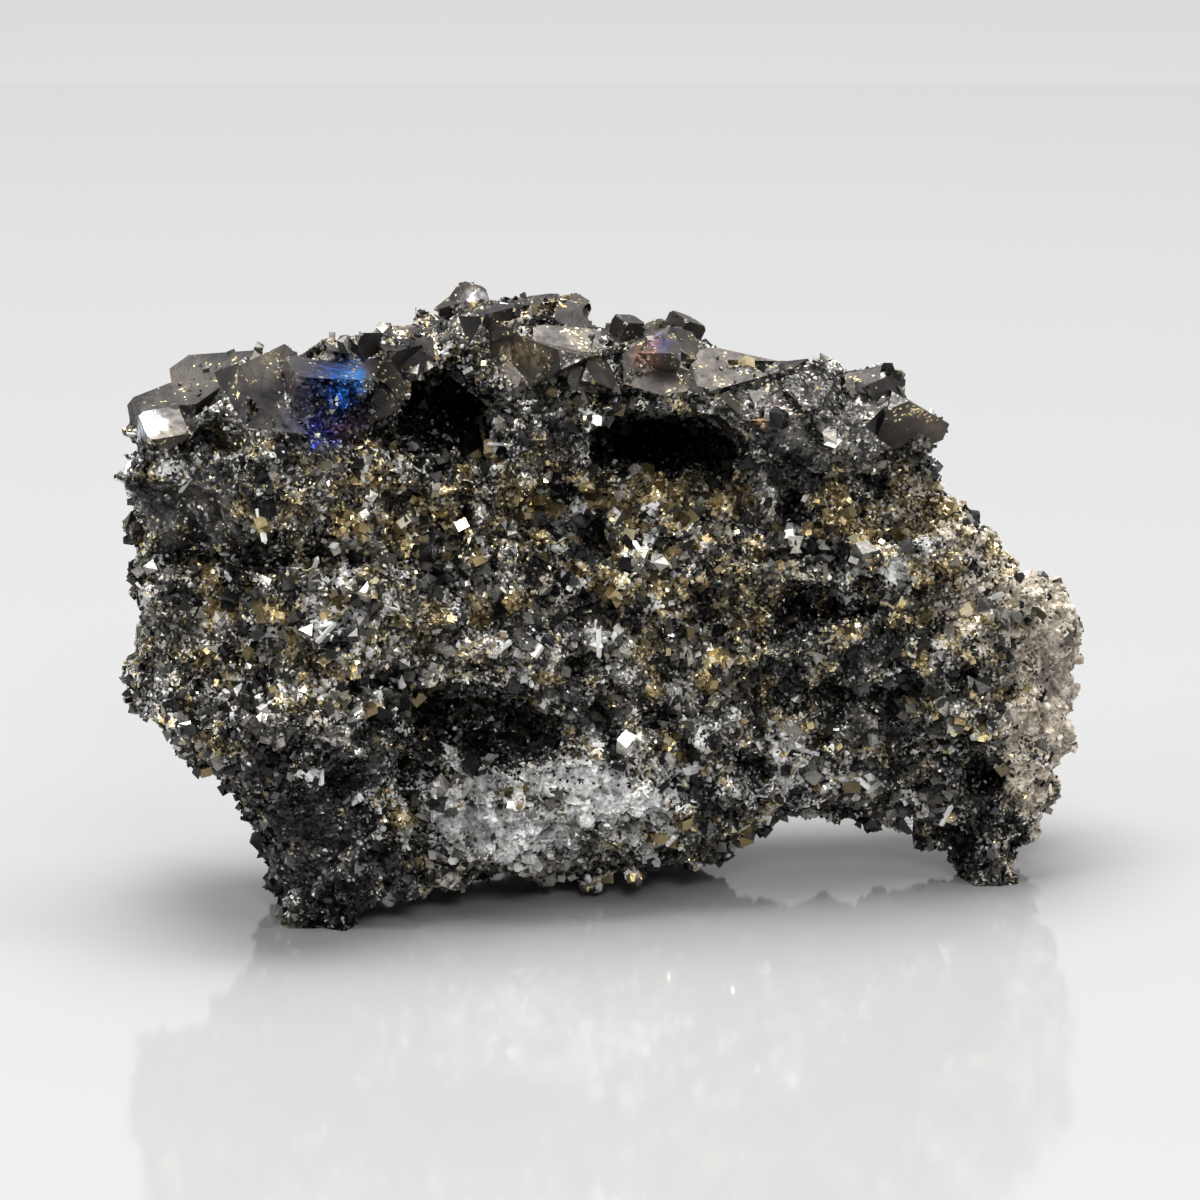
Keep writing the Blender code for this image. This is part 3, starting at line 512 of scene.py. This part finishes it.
def random_turns(count, chance):
    """count random rotation matrices."""
    q = chance.normal(size=(count, 4))
    q /= np.linalg.norm(q, axis=1)[:, None]
    w, x, y, z = q.T
    return np.stack([
        1 - 2 * (y * y + z * z), 2 * (x * y - z * w), 2 * (x * z + y * w),
        2 * (x * y + z * w), 1 - 2 * (x * x + z * z), 2 * (y * z - x * w),
        2 * (x * z - y * w), 2 * (y * z + x * w), 1 - 2 * (x * x + y * y),
    ], axis=1).reshape(-1, 3, 3)


def turns_along(ways, chance):
    """Rotation matrices whose Z points along each way, with a random spin."""
    ways = ways / np.linalg.norm(ways, axis=1)[:, None]
    side = np.cross(ways, chance.normal(size=ways.shape))
    side /= np.linalg.norm(side, axis=1)[:, None]
    return np.stack([side, np.cross(ways, side), ways], axis=2)


def hull(points):
    """(points, triangles) of the convex shape around the points."""
    work = bmesh.new()
    for point in points:
        work.verts.new(point)
    made = bmesh.ops.convex_hull(work, input=work.verts)
    bmesh.ops.delete(work, geom=made["geom_interior"], context="VERTS")
    bmesh.ops.triangulate(work, faces=work.faces)
    bmesh.ops.recalc_face_normals(work, faces=work.faces)
    work.verts.index_update()
    shape = np.array([v.co for v in work.verts]), np.array([[v.index for v in f.verts] for f in work.faces])
    work.free()
    return shape


def cube_shape():
    return hull([(x, y, z) for x in (-1, 1) for y in (-1, 1) for z in (-1, 1)])


def tetrahedron_shape():
    """A tetrahedron with each corner cut off."""
    corners = np.array([(1, 1, 1), (1, -1, -1), (-1, 1, -1), (-1, -1, 1)]) * 1.1
    return hull([0.76 * a + 0.24 * b for a in corners for b in corners if a is not b])


def wedge_shape():
    """An uneven chip with six corners."""
    return hull([
        (1.0, 0, 0), (-0.9, 0.8, 0.2), (-0.7, -0.9, 0.1),
        (0.2, 0.3, 1.0), (0.1, -0.3, -0.9), (-0.5, 0.5, -0.8),
    ])


def chip_shape():
    """A flatter, blunter chip with eight corners."""
    return hull([
        (0.9, 0.2, 0.3), (0.3, 0.9, -0.2), (-0.8, 0.6, 0.3), (-0.9, -0.4, -0.3),
        (-0.2, -0.9, 0.4), (0.7, -0.7, -0.3), (0.1, 0.1, 0.8), (-0.1, 0.0, -0.7),
    ])


def prism_shape(sides, top):
    """A column with a point, which lies a little off its middle."""
    ring = [(math.cos(math.tau * n / sides), math.sin(math.tau * n / sides)) for n in range(sides)]
    return hull([(x, y, z) for x, y in ring for z in (-1.0, 1.0)] + [(0.15, 0, top)])


def grain_mesh(name, parts):
    """One mesh from (shape, places, turns, sizes, tints) parts. Every grain is a closed shape of its own."""
    all_points, all_faces, all_tints_and_painted_shade, start = [], [], [], 0
    for (points, faces), places, turns, sizes, tints_and_painted_shade in parts:
        grown = np.einsum("nij,nkj->nki", turns, points[None] * sizes[:, None, :]) + places[:, None, :]
        above = grown[:, :, 2].min(axis=1) > LOWEST_CORNER
        grown = grown[above]
        count = len(grown)
        shifts = start + np.arange(count)[:, None, None] * len(points)
        all_points.append(grown.reshape(-1, 3))
        all_faces.append((faces[None] + shifts).reshape(-1, 3))
        all_tints_and_painted_shade.append(np.repeat(tints_and_painted_shade[above], len(points), axis=0))
        start += count * len(points)
    points = np.concatenate(all_points) * MM
    faces = np.concatenate(all_faces)
    tints_and_painted_shade = np.concatenate(all_tints_and_painted_shade)
    mesh = bpy.data.meshes.new(name)
    mesh.vertices.add(len(points))
    mesh.vertices.foreach_set("co", points.astype(np.float32).ravel())
    mesh.loops.add(faces.size)
    mesh.loops.foreach_set("vertex_index", faces.astype(np.int32).ravel())
    mesh.polygons.add(len(faces))
    mesh.polygons.foreach_set("loop_start", np.arange(0, faces.size, 3, dtype=np.int32))
    mesh.update(calc_edges=True)
    mesh.shade_flat()
    paint(mesh, "tint_and_painted_light", np.concatenate([tints_and_painted_shade, np.ones((len(tints_and_painted_shade), 1))], axis=1))
    mesh.validate()
    return mesh


def grow_grains(crust):
    """The small crystals of every mineral, as one mesh for each."""
    chance = np.random.default_rng(SEED)
    corners, crystal = triangle_corners(crust)
    across = np.cross(corners[:, 1] - corners[:, 0], corners[:, 2] - corners[:, 0])
    area = np.linalg.norm(across, axis=1).sum() / 2
    places, normals, triangles = scattered(corners, int(area * FRONT_DENSITY), chance)
    front = frontness(normals)
    heights = np.array([relief(Vector(p)) for p in places])
    u, v = to_front(places)
    smooth = np.maximum(smoothness(u, v, front), CRYSTAL_BARE * crystal[triangles])
    gap = gap_depth(u, v, front)
    density = BACK_DENSITY + (FRONT_DENSITY - BACK_DENSITY) * front
    keep = chance.random(len(places)) < density / FRONT_DENSITY
    keep &= chance.random(len(places)) > smooth
    on_knobs = (0.15 + 1.1 * heights) * np.clip(1 - gap, 0, 1)
    keep &= (places[:, 2] > LOWEST_ROOT) & (chance.random(len(places)) < on_knobs)
    places, normals, front, heights, smooth, gap = (
        part[keep] for part in (places, normals, front, heights, smooth, gap)
    )
    weights = mineral_weights(places, front)
    picked = weights.cumsum(axis=1)
    mineral_of = np.minimum((picked < chance.random(len(places))[:, None]).sum(axis=1), len(MINERALS) - 1)
    # Painted shade: each grain takes its clump's tone, darkened low in the relief and in gaps; tarnish grains
    # take the tarnish colour instead
    tints_and_painted_shade = np.repeat(tone(places, heights, gap)[:, None], 3, axis=1)
    colour, strength = tarnish_and_painted_reflection(places, front)
    filmed = (mineral_of == MINERALS.index("tarnish")) & (strength > 0.1)
    tints_and_painted_shade[filmed] = colour[filmed]
    coarseness = np.array([noise.fractal(Vector(p) * 0.35 + Vector((2, 6, 4)), 0.9, 2.0, 2) for p in places])
    meshes = {}
    for index, mineral in enumerate(MINERALS):
        chosen = mineral_of == index
        if mineral == "tarnish":
            chosen = filmed
        elif mineral in ("quartz", "beige"):
            tints_and_painted_shade[chosen] = np.sqrt(tints_and_painted_shade[chosen])
        spots, ways = places[chosen], normals[chosen]
        low, top = GRAIN_SIZE[mineral]
        size = low * (top / low) ** (chance.random(len(spots)) ** SIZE_SKEW)
        size *= np.clip(1.0 + 1.3 * coarseness[chosen], 0.6, 1.6) * (1 - 0.5 * smooth[chosen])
        sunk = chance.uniform(*SUNK, len(spots))
        if mineral in ("dark", "grey"):
            coarse = chance.random(len(spots)) < COARSE_SHARE * (1 - smooth[chosen])
            size[coarse] = chance.uniform(*COARSE_SIZE, coarse.sum())
            sunk[coarse] = chance.uniform(*COARSE_SUNK, coarse.sum())
        spots = spots - ways * (size * sunk)[:, None]
        meshes[mineral] = grain_mesh(mineral, grain_parts(mineral, spots, ways, size, tints_and_painted_shade[chosen], chance))
        print(mineral, len(spots), "grains", len(meshes[mineral].polygons), "triangles")
    return meshes


def grain_parts(mineral, spots, ways, size, tints_and_painted_shade, chance):
    """(shape, places, turns, sizes, tints) of the grains of a mineral, each habit with its share."""
    count = len(spots)
    stretch = size[:, None] * chance.uniform(0.75, 1.25, (count, 3))
    turns = random_turns(count, chance)
    kind = chance.random(count)
    if mineral == "quartz":
        blade = kind < 0.30
        rest = ~blade
        lean = ways[blade] + 0.8 * chance.normal(size=(blade.sum(), 3))
        thick = size[blade] * 0.7
        length = thick * chance.uniform(1.4, 3.4, blade.sum())
        slim = np.stack([thick, thick * chance.uniform(0.4, 0.9, blade.sum()), length], axis=1)
        return [
            (prism_shape(5, 1.25), spots[blade], turns_along(lean, chance), slim, tints_and_painted_shade[blade]),
            (chip_shape(), spots[rest], turns[rest], stretch[rest], tints_and_painted_shade[rest]),
        ]
    if mineral == "pyrite":
        blocky = kind < 0.50
        rest = ~blocky
        return [
            (cube_shape(), spots[blocky], turns[blocky], stretch[blocky], tints_and_painted_shade[blocky]),
            (wedge_shape(), spots[rest], turns[rest], stretch[rest], tints_and_painted_shade[rest]),
        ]
    if mineral in ("beige", "tarnish"):
        return [(chip_shape(), spots, turns, stretch, tints_and_painted_shade)]
    large = size > COARSE_SIZE[0]
    pointed, plate = (kind < 0.20) & ~large, (kind > 0.80) & ~large
    blunt = ~(pointed | plate) & (large | (kind > 0.40))
    rest = ~(pointed | plate | blunt)
    plates = stretch[plate] * np.array((1.2, 1.0, 0.45))
    return [
        (tetrahedron_shape(), spots[pointed], turns[pointed], stretch[pointed], tints_and_painted_shade[pointed]),
        (cube_shape(), spots[plate], turns[plate], plates, tints_and_painted_shade[plate]),
        (chip_shape(), spots[blunt], turns[blunt], stretch[blunt], tints_and_painted_shade[blunt]),
        (wedge_shape(), spots[rest], turns[rest], stretch[rest], tints_and_painted_shade[rest]),
    ]


class Nodes:
    """A material's node tree, with short calls for the nodes that the minerals share."""

    def __init__(self, name):
        self.material = bpy.data.materials.new(name)
        self.material.use_nodes = True
        self.tree = self.material.node_tree
        self.shader = self.tree.nodes["Principled BSDF"]

    def add(self, kind, **settings):
        node = self.tree.nodes.new(kind)
        for key, value in settings.items():
            setattr(node, key, value)
        return node

    def link(self, source, target):
        """Links a socket, or sets a plain number."""
        if isinstance(source, (int, float)):
            target.default_value = source
        else:
            self.tree.links.new(source, target)

    def place(self):
        return self.add("ShaderNodeTexCoord").outputs["Object"]

    def attribute(self, name):
        return self.add("ShaderNodeAttribute", attribute_name=name)

    def split(self, colour):
        node = self.add("ShaderNodeSeparateColor")
        self.link(colour, node.inputs["Color"])
        return [node.outputs[channel] for channel in ("Red", "Green", "Blue")]

    def math(self, operation, first, second=0.0):
        node = self.add("ShaderNodeMath", operation=operation)
        self.link(first, node.inputs[0])
        self.link(second, node.inputs[1])
        return node.outputs["Value"]

    def noise(self, size_mm, detail=3.0, roughness=0.55):
        node = self.add("ShaderNodeTexNoise")
        node.inputs["Scale"].default_value = 1 / (size_mm * MM)
        node.inputs["Detail"].default_value = detail
        node.inputs["Roughness"].default_value = roughness
        self.link(self.place(), node.inputs["Vector"])
        return node.outputs["Fac"]

    def cells(self, size_mm):
        node = self.add("ShaderNodeTexVoronoi")
        node.inputs["Scale"].default_value = 1 / (size_mm * MM)
        self.link(self.place(), node.inputs["Vector"])
        return node

    def ramp(self, source, stops):
        node = self.add("ShaderNodeValToRGB")
        elements = node.color_ramp.elements
        elements[0].position, elements[0].color = stops[0][0], (*stops[0][1], 1)
        elements[1].position, elements[1].color = stops[-1][0], (*stops[-1][1], 1)
        for position, colour in stops[1:-1]:
            element = elements.new(position)
            element.color = (*colour, 1)
        self.link(source, node.inputs["Fac"])
        return node.outputs["Color"]

    def span(self, source, low, high, from_low=0.0, from_high=1.0):
        node = self.add("ShaderNodeMapRange")
        node.inputs["From Min"].default_value = from_low
        node.inputs["From Max"].default_value = from_high
        node.inputs["To Min"].default_value = low
        node.inputs["To Max"].default_value = high
        self.link(source, node.inputs["Value"])
        return node.outputs["Result"]

    def mix(self, factor, first, second, blend="MIX"):
        node = self.add("ShaderNodeMix", data_type="RGBA", blend_type=blend)
        self.link(factor, node.inputs["Factor"])
        for socket, value in (("A", first), ("B", second)):
            target = [s for s in node.inputs if s.name == socket and s.type == "RGBA"][0]
            if isinstance(value, tuple):
                target.default_value = (*value, 1)
            else:
                self.link(value, target)
        return [s for s in node.outputs if s.type == "RGBA"][0]

    def bump(self, height, distance_mm, strength=1.0):
        node = self.add("ShaderNodeBump")
        node.inputs["Strength"].default_value = strength
        node.inputs["Distance"].default_value = distance_mm * MM
        self.link(height, node.inputs["Height"])
        self.link(node.outputs["Normal"], self.shader.inputs["Normal"])

    def tilted_cells(self, cells, slope):
        """Height in mm of a surface that is a small plane, tilted at random, in each cell."""
        away = self.add("ShaderNodeVectorMath", operation="SUBTRACT")
        self.link(self.place(), away.inputs[0])
        self.link(cells.outputs["Position"], away.inputs[1])
        centred = self.add("ShaderNodeVectorMath", operation="SUBTRACT")
        self.link(cells.outputs["Color"], centred.inputs[0])
        centred.inputs[1].default_value = (0.5, 0.5, 0.5)
        dot = self.add("ShaderNodeVectorMath", operation="DOT_PRODUCT")
        self.link(away.outputs["Vector"], dot.inputs[0])
        self.link(centred.outputs["Vector"], dot.inputs[1])
        return self.math("MULTIPLY", dot.outputs["Value"], 2.0 * slope / MM)


# Colours of each mineral's grains from its darkest to its brightest
STOPS = {
    "dark": [
        (0.0, (0.012, 0.012, 0.014)), (0.5, (0.040, 0.040, 0.043)),
        (0.85, (0.11, 0.108, 0.104)), (1.0, (0.34, 0.33, 0.31)),
    ],
    "grey": [
        (0.0, (0.07, 0.067, 0.060)), (0.45, (0.20, 0.19, 0.165)),
        (0.8, (0.38, 0.36, 0.32)), (1.0, (0.74, 0.72, 0.67)),
    ],
    "pyrite": [
        (0.0, (0.16, 0.120, 0.060)), (0.4, (0.45, 0.345, 0.175)),
        (0.75, (0.80, 0.65, 0.35)), (1.0, (1.0, 0.90, 0.64)),
    ],
    "quartz": [(0.0, (0.56, 0.565, 0.56)), (0.5, (0.80, 0.80, 0.78)), (1.0, (0.96, 0.96, 0.94))],
    "beige": [(0.0, (0.42, 0.35, 0.26)), (0.5, (0.67, 0.59, 0.475)), (1.0, (0.88, 0.82, 0.72))],
    "tarnish": [(0.0, (0.25, 0.25, 0.25)), (0.6, (1.0, 1.0, 1.0)), (1.0, (2.2, 2.2, 2.2))],
}


def grain_material(mineral, name, metallic, rough):
    """Each grain has its own colour and gloss, and the tone of the clump that it is in, with painted shade
    where it lies low in the relief or in a gap.
    """
    nodes = Nodes(name)
    each = nodes.add("ShaderNodeNewGeometry").outputs["Random Per Island"]
    shade = nodes.ramp(nodes.noise(0.9), [(0.35, (0.7, 0.69, 0.67)), (0.65, (1.0, 1.0, 1.0))])
    colour = nodes.mix(1.0, nodes.ramp(each, STOPS[mineral]), shade, "MULTIPLY")
    # The clump's tone with painted shade in grooves and gaps, or the tarnish colour, darkens the grain
    colour = nodes.mix(1.0, colour, nodes.attribute("tint_and_painted_light").outputs["Color"], "MULTIPLY")
    nodes.link(colour, nodes.shader.inputs["Base Color"])
    scratch = nodes.noise(0.16, 2.0)
    nodes.link(nodes.span(scratch, rough[0], rough[1], 0.3, 0.7), nodes.shader.inputs["Roughness"])
    nodes.shader.inputs["Metallic"].default_value = metallic
    nodes.bump(scratch, 0.012, 0.5)
    return nodes.material


def crust_material():
    """Fine grains of all the minerals, mixed by the shares that the crust's points carry, and darkened by
    their tone and painted shade.
    """
    nodes = Nodes("crust")
    gold, pale, earthy = nodes.split(nodes.attribute("minerals").outputs["Color"])
    light, tone_and_painted_shade, smooth = nodes.split(nodes.attribute("grey_share_tone_painted_shade_smoothness").outputs["Color"])
    cells = nodes.cells(CELL_SIZE)
    pick, shade, spread = nodes.split(cells.outputs["Color"])

    rugged = nodes.span(smooth, 1.0, 0.12)
    is_gold = nodes.math("LESS_THAN", pick, nodes.math("MULTIPLY", gold, rugged))
    is_pale = nodes.math("GREATER_THAN", nodes.math("ADD", pick, nodes.math("MULTIPLY", pale, rugged)), 1.0)
    is_earthy = nodes.math("LESS_THAN", spread, earthy)
    colour = nodes.mix(light, nodes.ramp(shade, STOPS["dark"]), nodes.ramp(shade, STOPS["grey"]))
    ground = nodes.ramp(nodes.noise(1.6), [(0.35, (0.045, 0.043, 0.042)), (0.65, (0.135, 0.127, 0.115))])
    colour = nodes.mix(nodes.math("MULTIPLY", smooth, 0.92), colour, ground)
    colour = nodes.mix(is_gold, colour, nodes.ramp(shade, STOPS["pyrite"]))
    colour = nodes.mix(is_pale, colour, nodes.ramp(shade, STOPS["quartz"]))
    colour = nodes.mix(is_earthy, colour, nodes.ramp(shade, STOPS["beige"]))
    # Tarnish films and the pale painted reflections, brighter or darker cell by cell
    film_here = nodes.attribute("tarnish_and_painted_reflection")
    tarnish_and_painted_reflection_cells = nodes.mix(1.0, film_here.outputs["Color"], nodes.ramp(shade, STOPS["tarnish"]), "MULTIPLY")
    colour = nodes.mix(film_here.outputs["Alpha"], colour, tarnish_and_painted_reflection_cells)
    # Painted shade: the clumps' tone, darkened in grooves and gaps, multiplies the colour; quartz and beige
    # take its square root, so they are darkened less.
    stony = nodes.math("MAXIMUM", is_pale, is_earthy)
    tone_power = nodes.span(stony, 1.0, 0.5)
    painted_shade_tone = nodes.math("POWER", tone_and_painted_shade, tone_power)
    whole = nodes.add("ShaderNodeCombineColor")
    for channel in ("Red", "Green", "Blue"):
        nodes.link(painted_shade_tone, whole.inputs[channel])
    nodes.link(nodes.mix(1.0, colour, whole.outputs["Color"], "MULTIPLY"), nodes.shader.inputs["Base Color"])

    nodes.link(nodes.span(stony, 0.6, 0.0), nodes.shader.inputs["Metallic"])
    rough = nodes.math("ADD", nodes.span(spread, 0.18, 0.46), nodes.math("MULTIPLY", is_earthy, 0.35))
    nodes.link(rough, nodes.shader.inputs["Roughness"])
    height = nodes.math("MULTIPLY", nodes.tilted_cells(cells, 0.9), nodes.span(smooth, 1.0, 0.08))
    nodes.bump(height, 1.0)
    return nodes.material


def crystal_material():
    """Large crystal faces: smooth brown-grey metal with clouds, tarnish, pale painted reflections, fine steps
    and a little golden dust.
    """
    nodes = Nodes("crystal_faces")
    clouds = nodes.noise(3.0, 4.0)
    colour = nodes.ramp(clouds, [
        (0.32, (0.018, 0.016, 0.017)), (0.46, (0.044, 0.040, 0.038)),
        (0.58, (0.068, 0.060, 0.052)), (0.72, (0.120, 0.104, 0.084)),
    ])
    # Tarnish films and the pale painted reflections, mottled over the faces
    film_here = nodes.attribute("tarnish_and_painted_reflection")
    mottled = nodes.ramp(nodes.noise(0.3, 4.0), [(0.38, (0.3, 0.3, 0.3)), (0.62, (1.2, 1.2, 1.2))])
    film_colour = nodes.mix(1.0, film_here.outputs["Color"], mottled, "MULTIPLY")
    colour = nodes.mix(film_here.outputs["Alpha"], colour, film_colour)
    dust = nodes.cells(DUST_SIZE)
    pick, shade, _ = nodes.split(dust.outputs["Color"])
    dusty = nodes.math("LESS_THAN", pick, nodes.span(nodes.noise(1.5), 0.0, 0.22, 0.52, 0.74))
    colour = nodes.mix(dusty, colour, nodes.ramp(shade, STOPS["pyrite"]))
    nodes.link(colour, nodes.shader.inputs["Base Color"])
    nodes.shader.inputs["Metallic"].default_value = 0.7
    nodes.link(nodes.span(nodes.noise(0.5, 5.0), 0.26, 0.58, 0.35, 0.65), nodes.shader.inputs["Roughness"])
    steps = nodes.add("ShaderNodeTexWave", bands_direction="DIAGONAL", wave_profile="SAW")
    steps.inputs["Scale"].default_value = 1 / (STEP_SIZE * MM)
    steps.inputs["Distortion"].default_value = 1.8
    nodes.link(nodes.place(), steps.inputs["Vector"])
    height = nodes.math("ADD", nodes.math("MULTIPLY", steps.outputs["Fac"], 0.6), nodes.noise(0.5, 6.0, 0.65))
    nodes.bump(height, 0.045, 0.8)
    return nodes.material


# For each mineral: its material's name, how metallic it is, and its range of roughness
GRAIN_FINISH = {
    "dark": ("dark_sulphide", 0.60, (0.08, 0.32)),
    "grey": ("grey_tetrahedrite", 0.55, (0.12, 0.36)),
    "pyrite": ("pyrite", 0.72, (0.06, 0.26)),
    "quartz": ("quartz", 0.0, (0.15, 0.5)),
    "beige": ("beige_matrix", 0.0, (0.5, 0.85)),
    "tarnish": ("blue_tarnish", 0.9, (0.2, 0.45)),
}


def build_cluster():
    crust = fine_crust(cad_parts[NODE])
    print("crust", len(crust.polygons), "triangles")
    grains = grow_grains(crust)
    piece = add_piece("crust", crust, crust_material(), crystal_material())
    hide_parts(NODE)
    for mineral, mesh in grains.items():
        add_piece(mineral + "_grains", mesh, grain_material(mineral, *GRAIN_FINISH[mineral]))


def stage_material(name, colour, roughness, specular):
    """A pale plain surface, which is hardly uneven in tone."""
    nodes = Nodes(name)
    darker = tuple(channel * 0.99 for channel in colour)
    soft = nodes.ramp(nodes.noise(250.0, 2.0), [(0.3, darker), (0.7, colour)])
    nodes.link(soft, nodes.shader.inputs["Base Color"])
    nodes.shader.inputs["Roughness"].default_value = roughness
    nodes.shader.inputs["Specular IOR Level"].default_value = specular
    return nodes.material


def sheet(name, near, far, material):
    """A level stage surface from near to far, in metres along Y."""
    mesh = bpy.data.meshes.new(name)
    left, right = -STAGE_REACH, STAGE_REACH
    mesh.from_pydata([(left, near, 0), (right, near, 0), (right, far, 0), (left, far, 0)], [], [(0, 1, 2, 3)])
    mesh.materials.append(material)
    made = bpy.data.objects.new(name, mesh)
    bpy.context.scene.collection.objects.link(made)


def build_stage():
    """A pale glossy board, whose far edge shows near the top of the picture, on a pale matt table."""
    board = stage_material("floor", (0.37, 0.37, 0.374), 0.07, 0.5)
    table = stage_material("table", (0.35, 0.35, 0.35), 0.6, 0.2)
    sheet("floor", -STAGE_REACH, BOARD_EDGE, board)
    sheet("table", BOARD_EDGE, STAGE_REACH, table)


def area_light(name, place, target, size, power, colour=(1, 1, 1)):
    light = bpy.data.lights.new(name, "AREA")
    light.shape = "RECTANGLE"
    light.size, light.size_y = size
    light.energy = power
    light.color = colour
    made = bpy.data.objects.new(name, light)
    made.location = place
    made.rotation_euler = (Vector(target) - Vector(place)).to_track_quat("-Z", "Y").to_euler()
    bpy.context.scene.collection.objects.link(made)


def build_light():
    """Softboxes over and around the piece, in a pale room that is dark only behind the camera."""
    centre = (0, 0, 0.015)
    area_light("overhead", (-0.04, 0.06, 0.60), centre, (0.50, 0.42), 6.8, (1.0, 0.995, 0.98))
    area_light("left", (-0.50, -0.28, 0.34), centre, (0.26, 0.34), 1.7, (0.97, 0.98, 1.0))
    area_light("right", (0.50, -0.16, 0.46), centre, (0.22, 0.32), 1.4)
    area_light("front", (0.10, -0.62, 0.42), centre, (0.26, 0.16), 1.9)
    world = bpy.data.worlds.new("studio")
    bpy.context.scene.world = world
    world.use_nodes = True
    tree = world.node_tree
    coordinates = tree.nodes.new("ShaderNodeTexCoord")
    toward_camera = tree.nodes.new("ShaderNodeVectorMath")
    toward_camera.operation = "DOT_PRODUCT"
    toward_camera.inputs[1].default_value = (0, -LEAN_COS, LEAN_SIN)
    ramp = tree.nodes.new("ShaderNodeValToRGB")
    ramp.color_ramp.elements[0].position = 0.30
    ramp.color_ramp.elements[0].color = ROOM_TONE
    ramp.color_ramp.elements[1].position = 0.85
    ramp.color_ramp.elements[1].color = DARK_TONE
    tree.links.new(coordinates.outputs["Generated"], toward_camera.inputs[0])
    tree.links.new(toward_camera.outputs["Value"], ramp.inputs["Fac"])
    tree.links.new(ramp.outputs["Color"], tree.nodes["Background"].inputs["Color"])
    tree.nodes["Background"].inputs["Strength"].default_value = ROOM_STRENGTH


def build_camera():
    """A long lens at the height angle of the front plane, framed by that plane's scale."""
    camera = bpy.data.cameras.new("camera")
    camera.lens = LENS_MM
    camera.sensor_width = SENSOR_MM
    camera.clip_start = 0.01
    made = bpy.data.objects.new("camera", camera)
    bpy.context.scene.collection.objects.link(made)
    middle_u, middle_v = PICTURE_CENTRE
    middle_z = (middle_v - PICTURE_DEPTH * LEAN_SIN) / LEAN_COS
    middle = np.array((middle_u, PICTURE_DEPTH, middle_z)) + PART_SHIFT
    away = PICTURE_WIDTH / PIXELS_PER_MM * LENS_MM / SENSOR_MM
    made.location = Vector((middle - away * np.array((0, LEAN_COS, -LEAN_SIN))) * MM)
    made.rotation_euler = (math.pi / 2 - FRONT_LEAN, 0, 0)
    bpy.context.scene.camera = made


build_cluster()
build_stage()
build_light()
build_camera()
bpy.context.scene.view_settings.view_transform = "Standard"
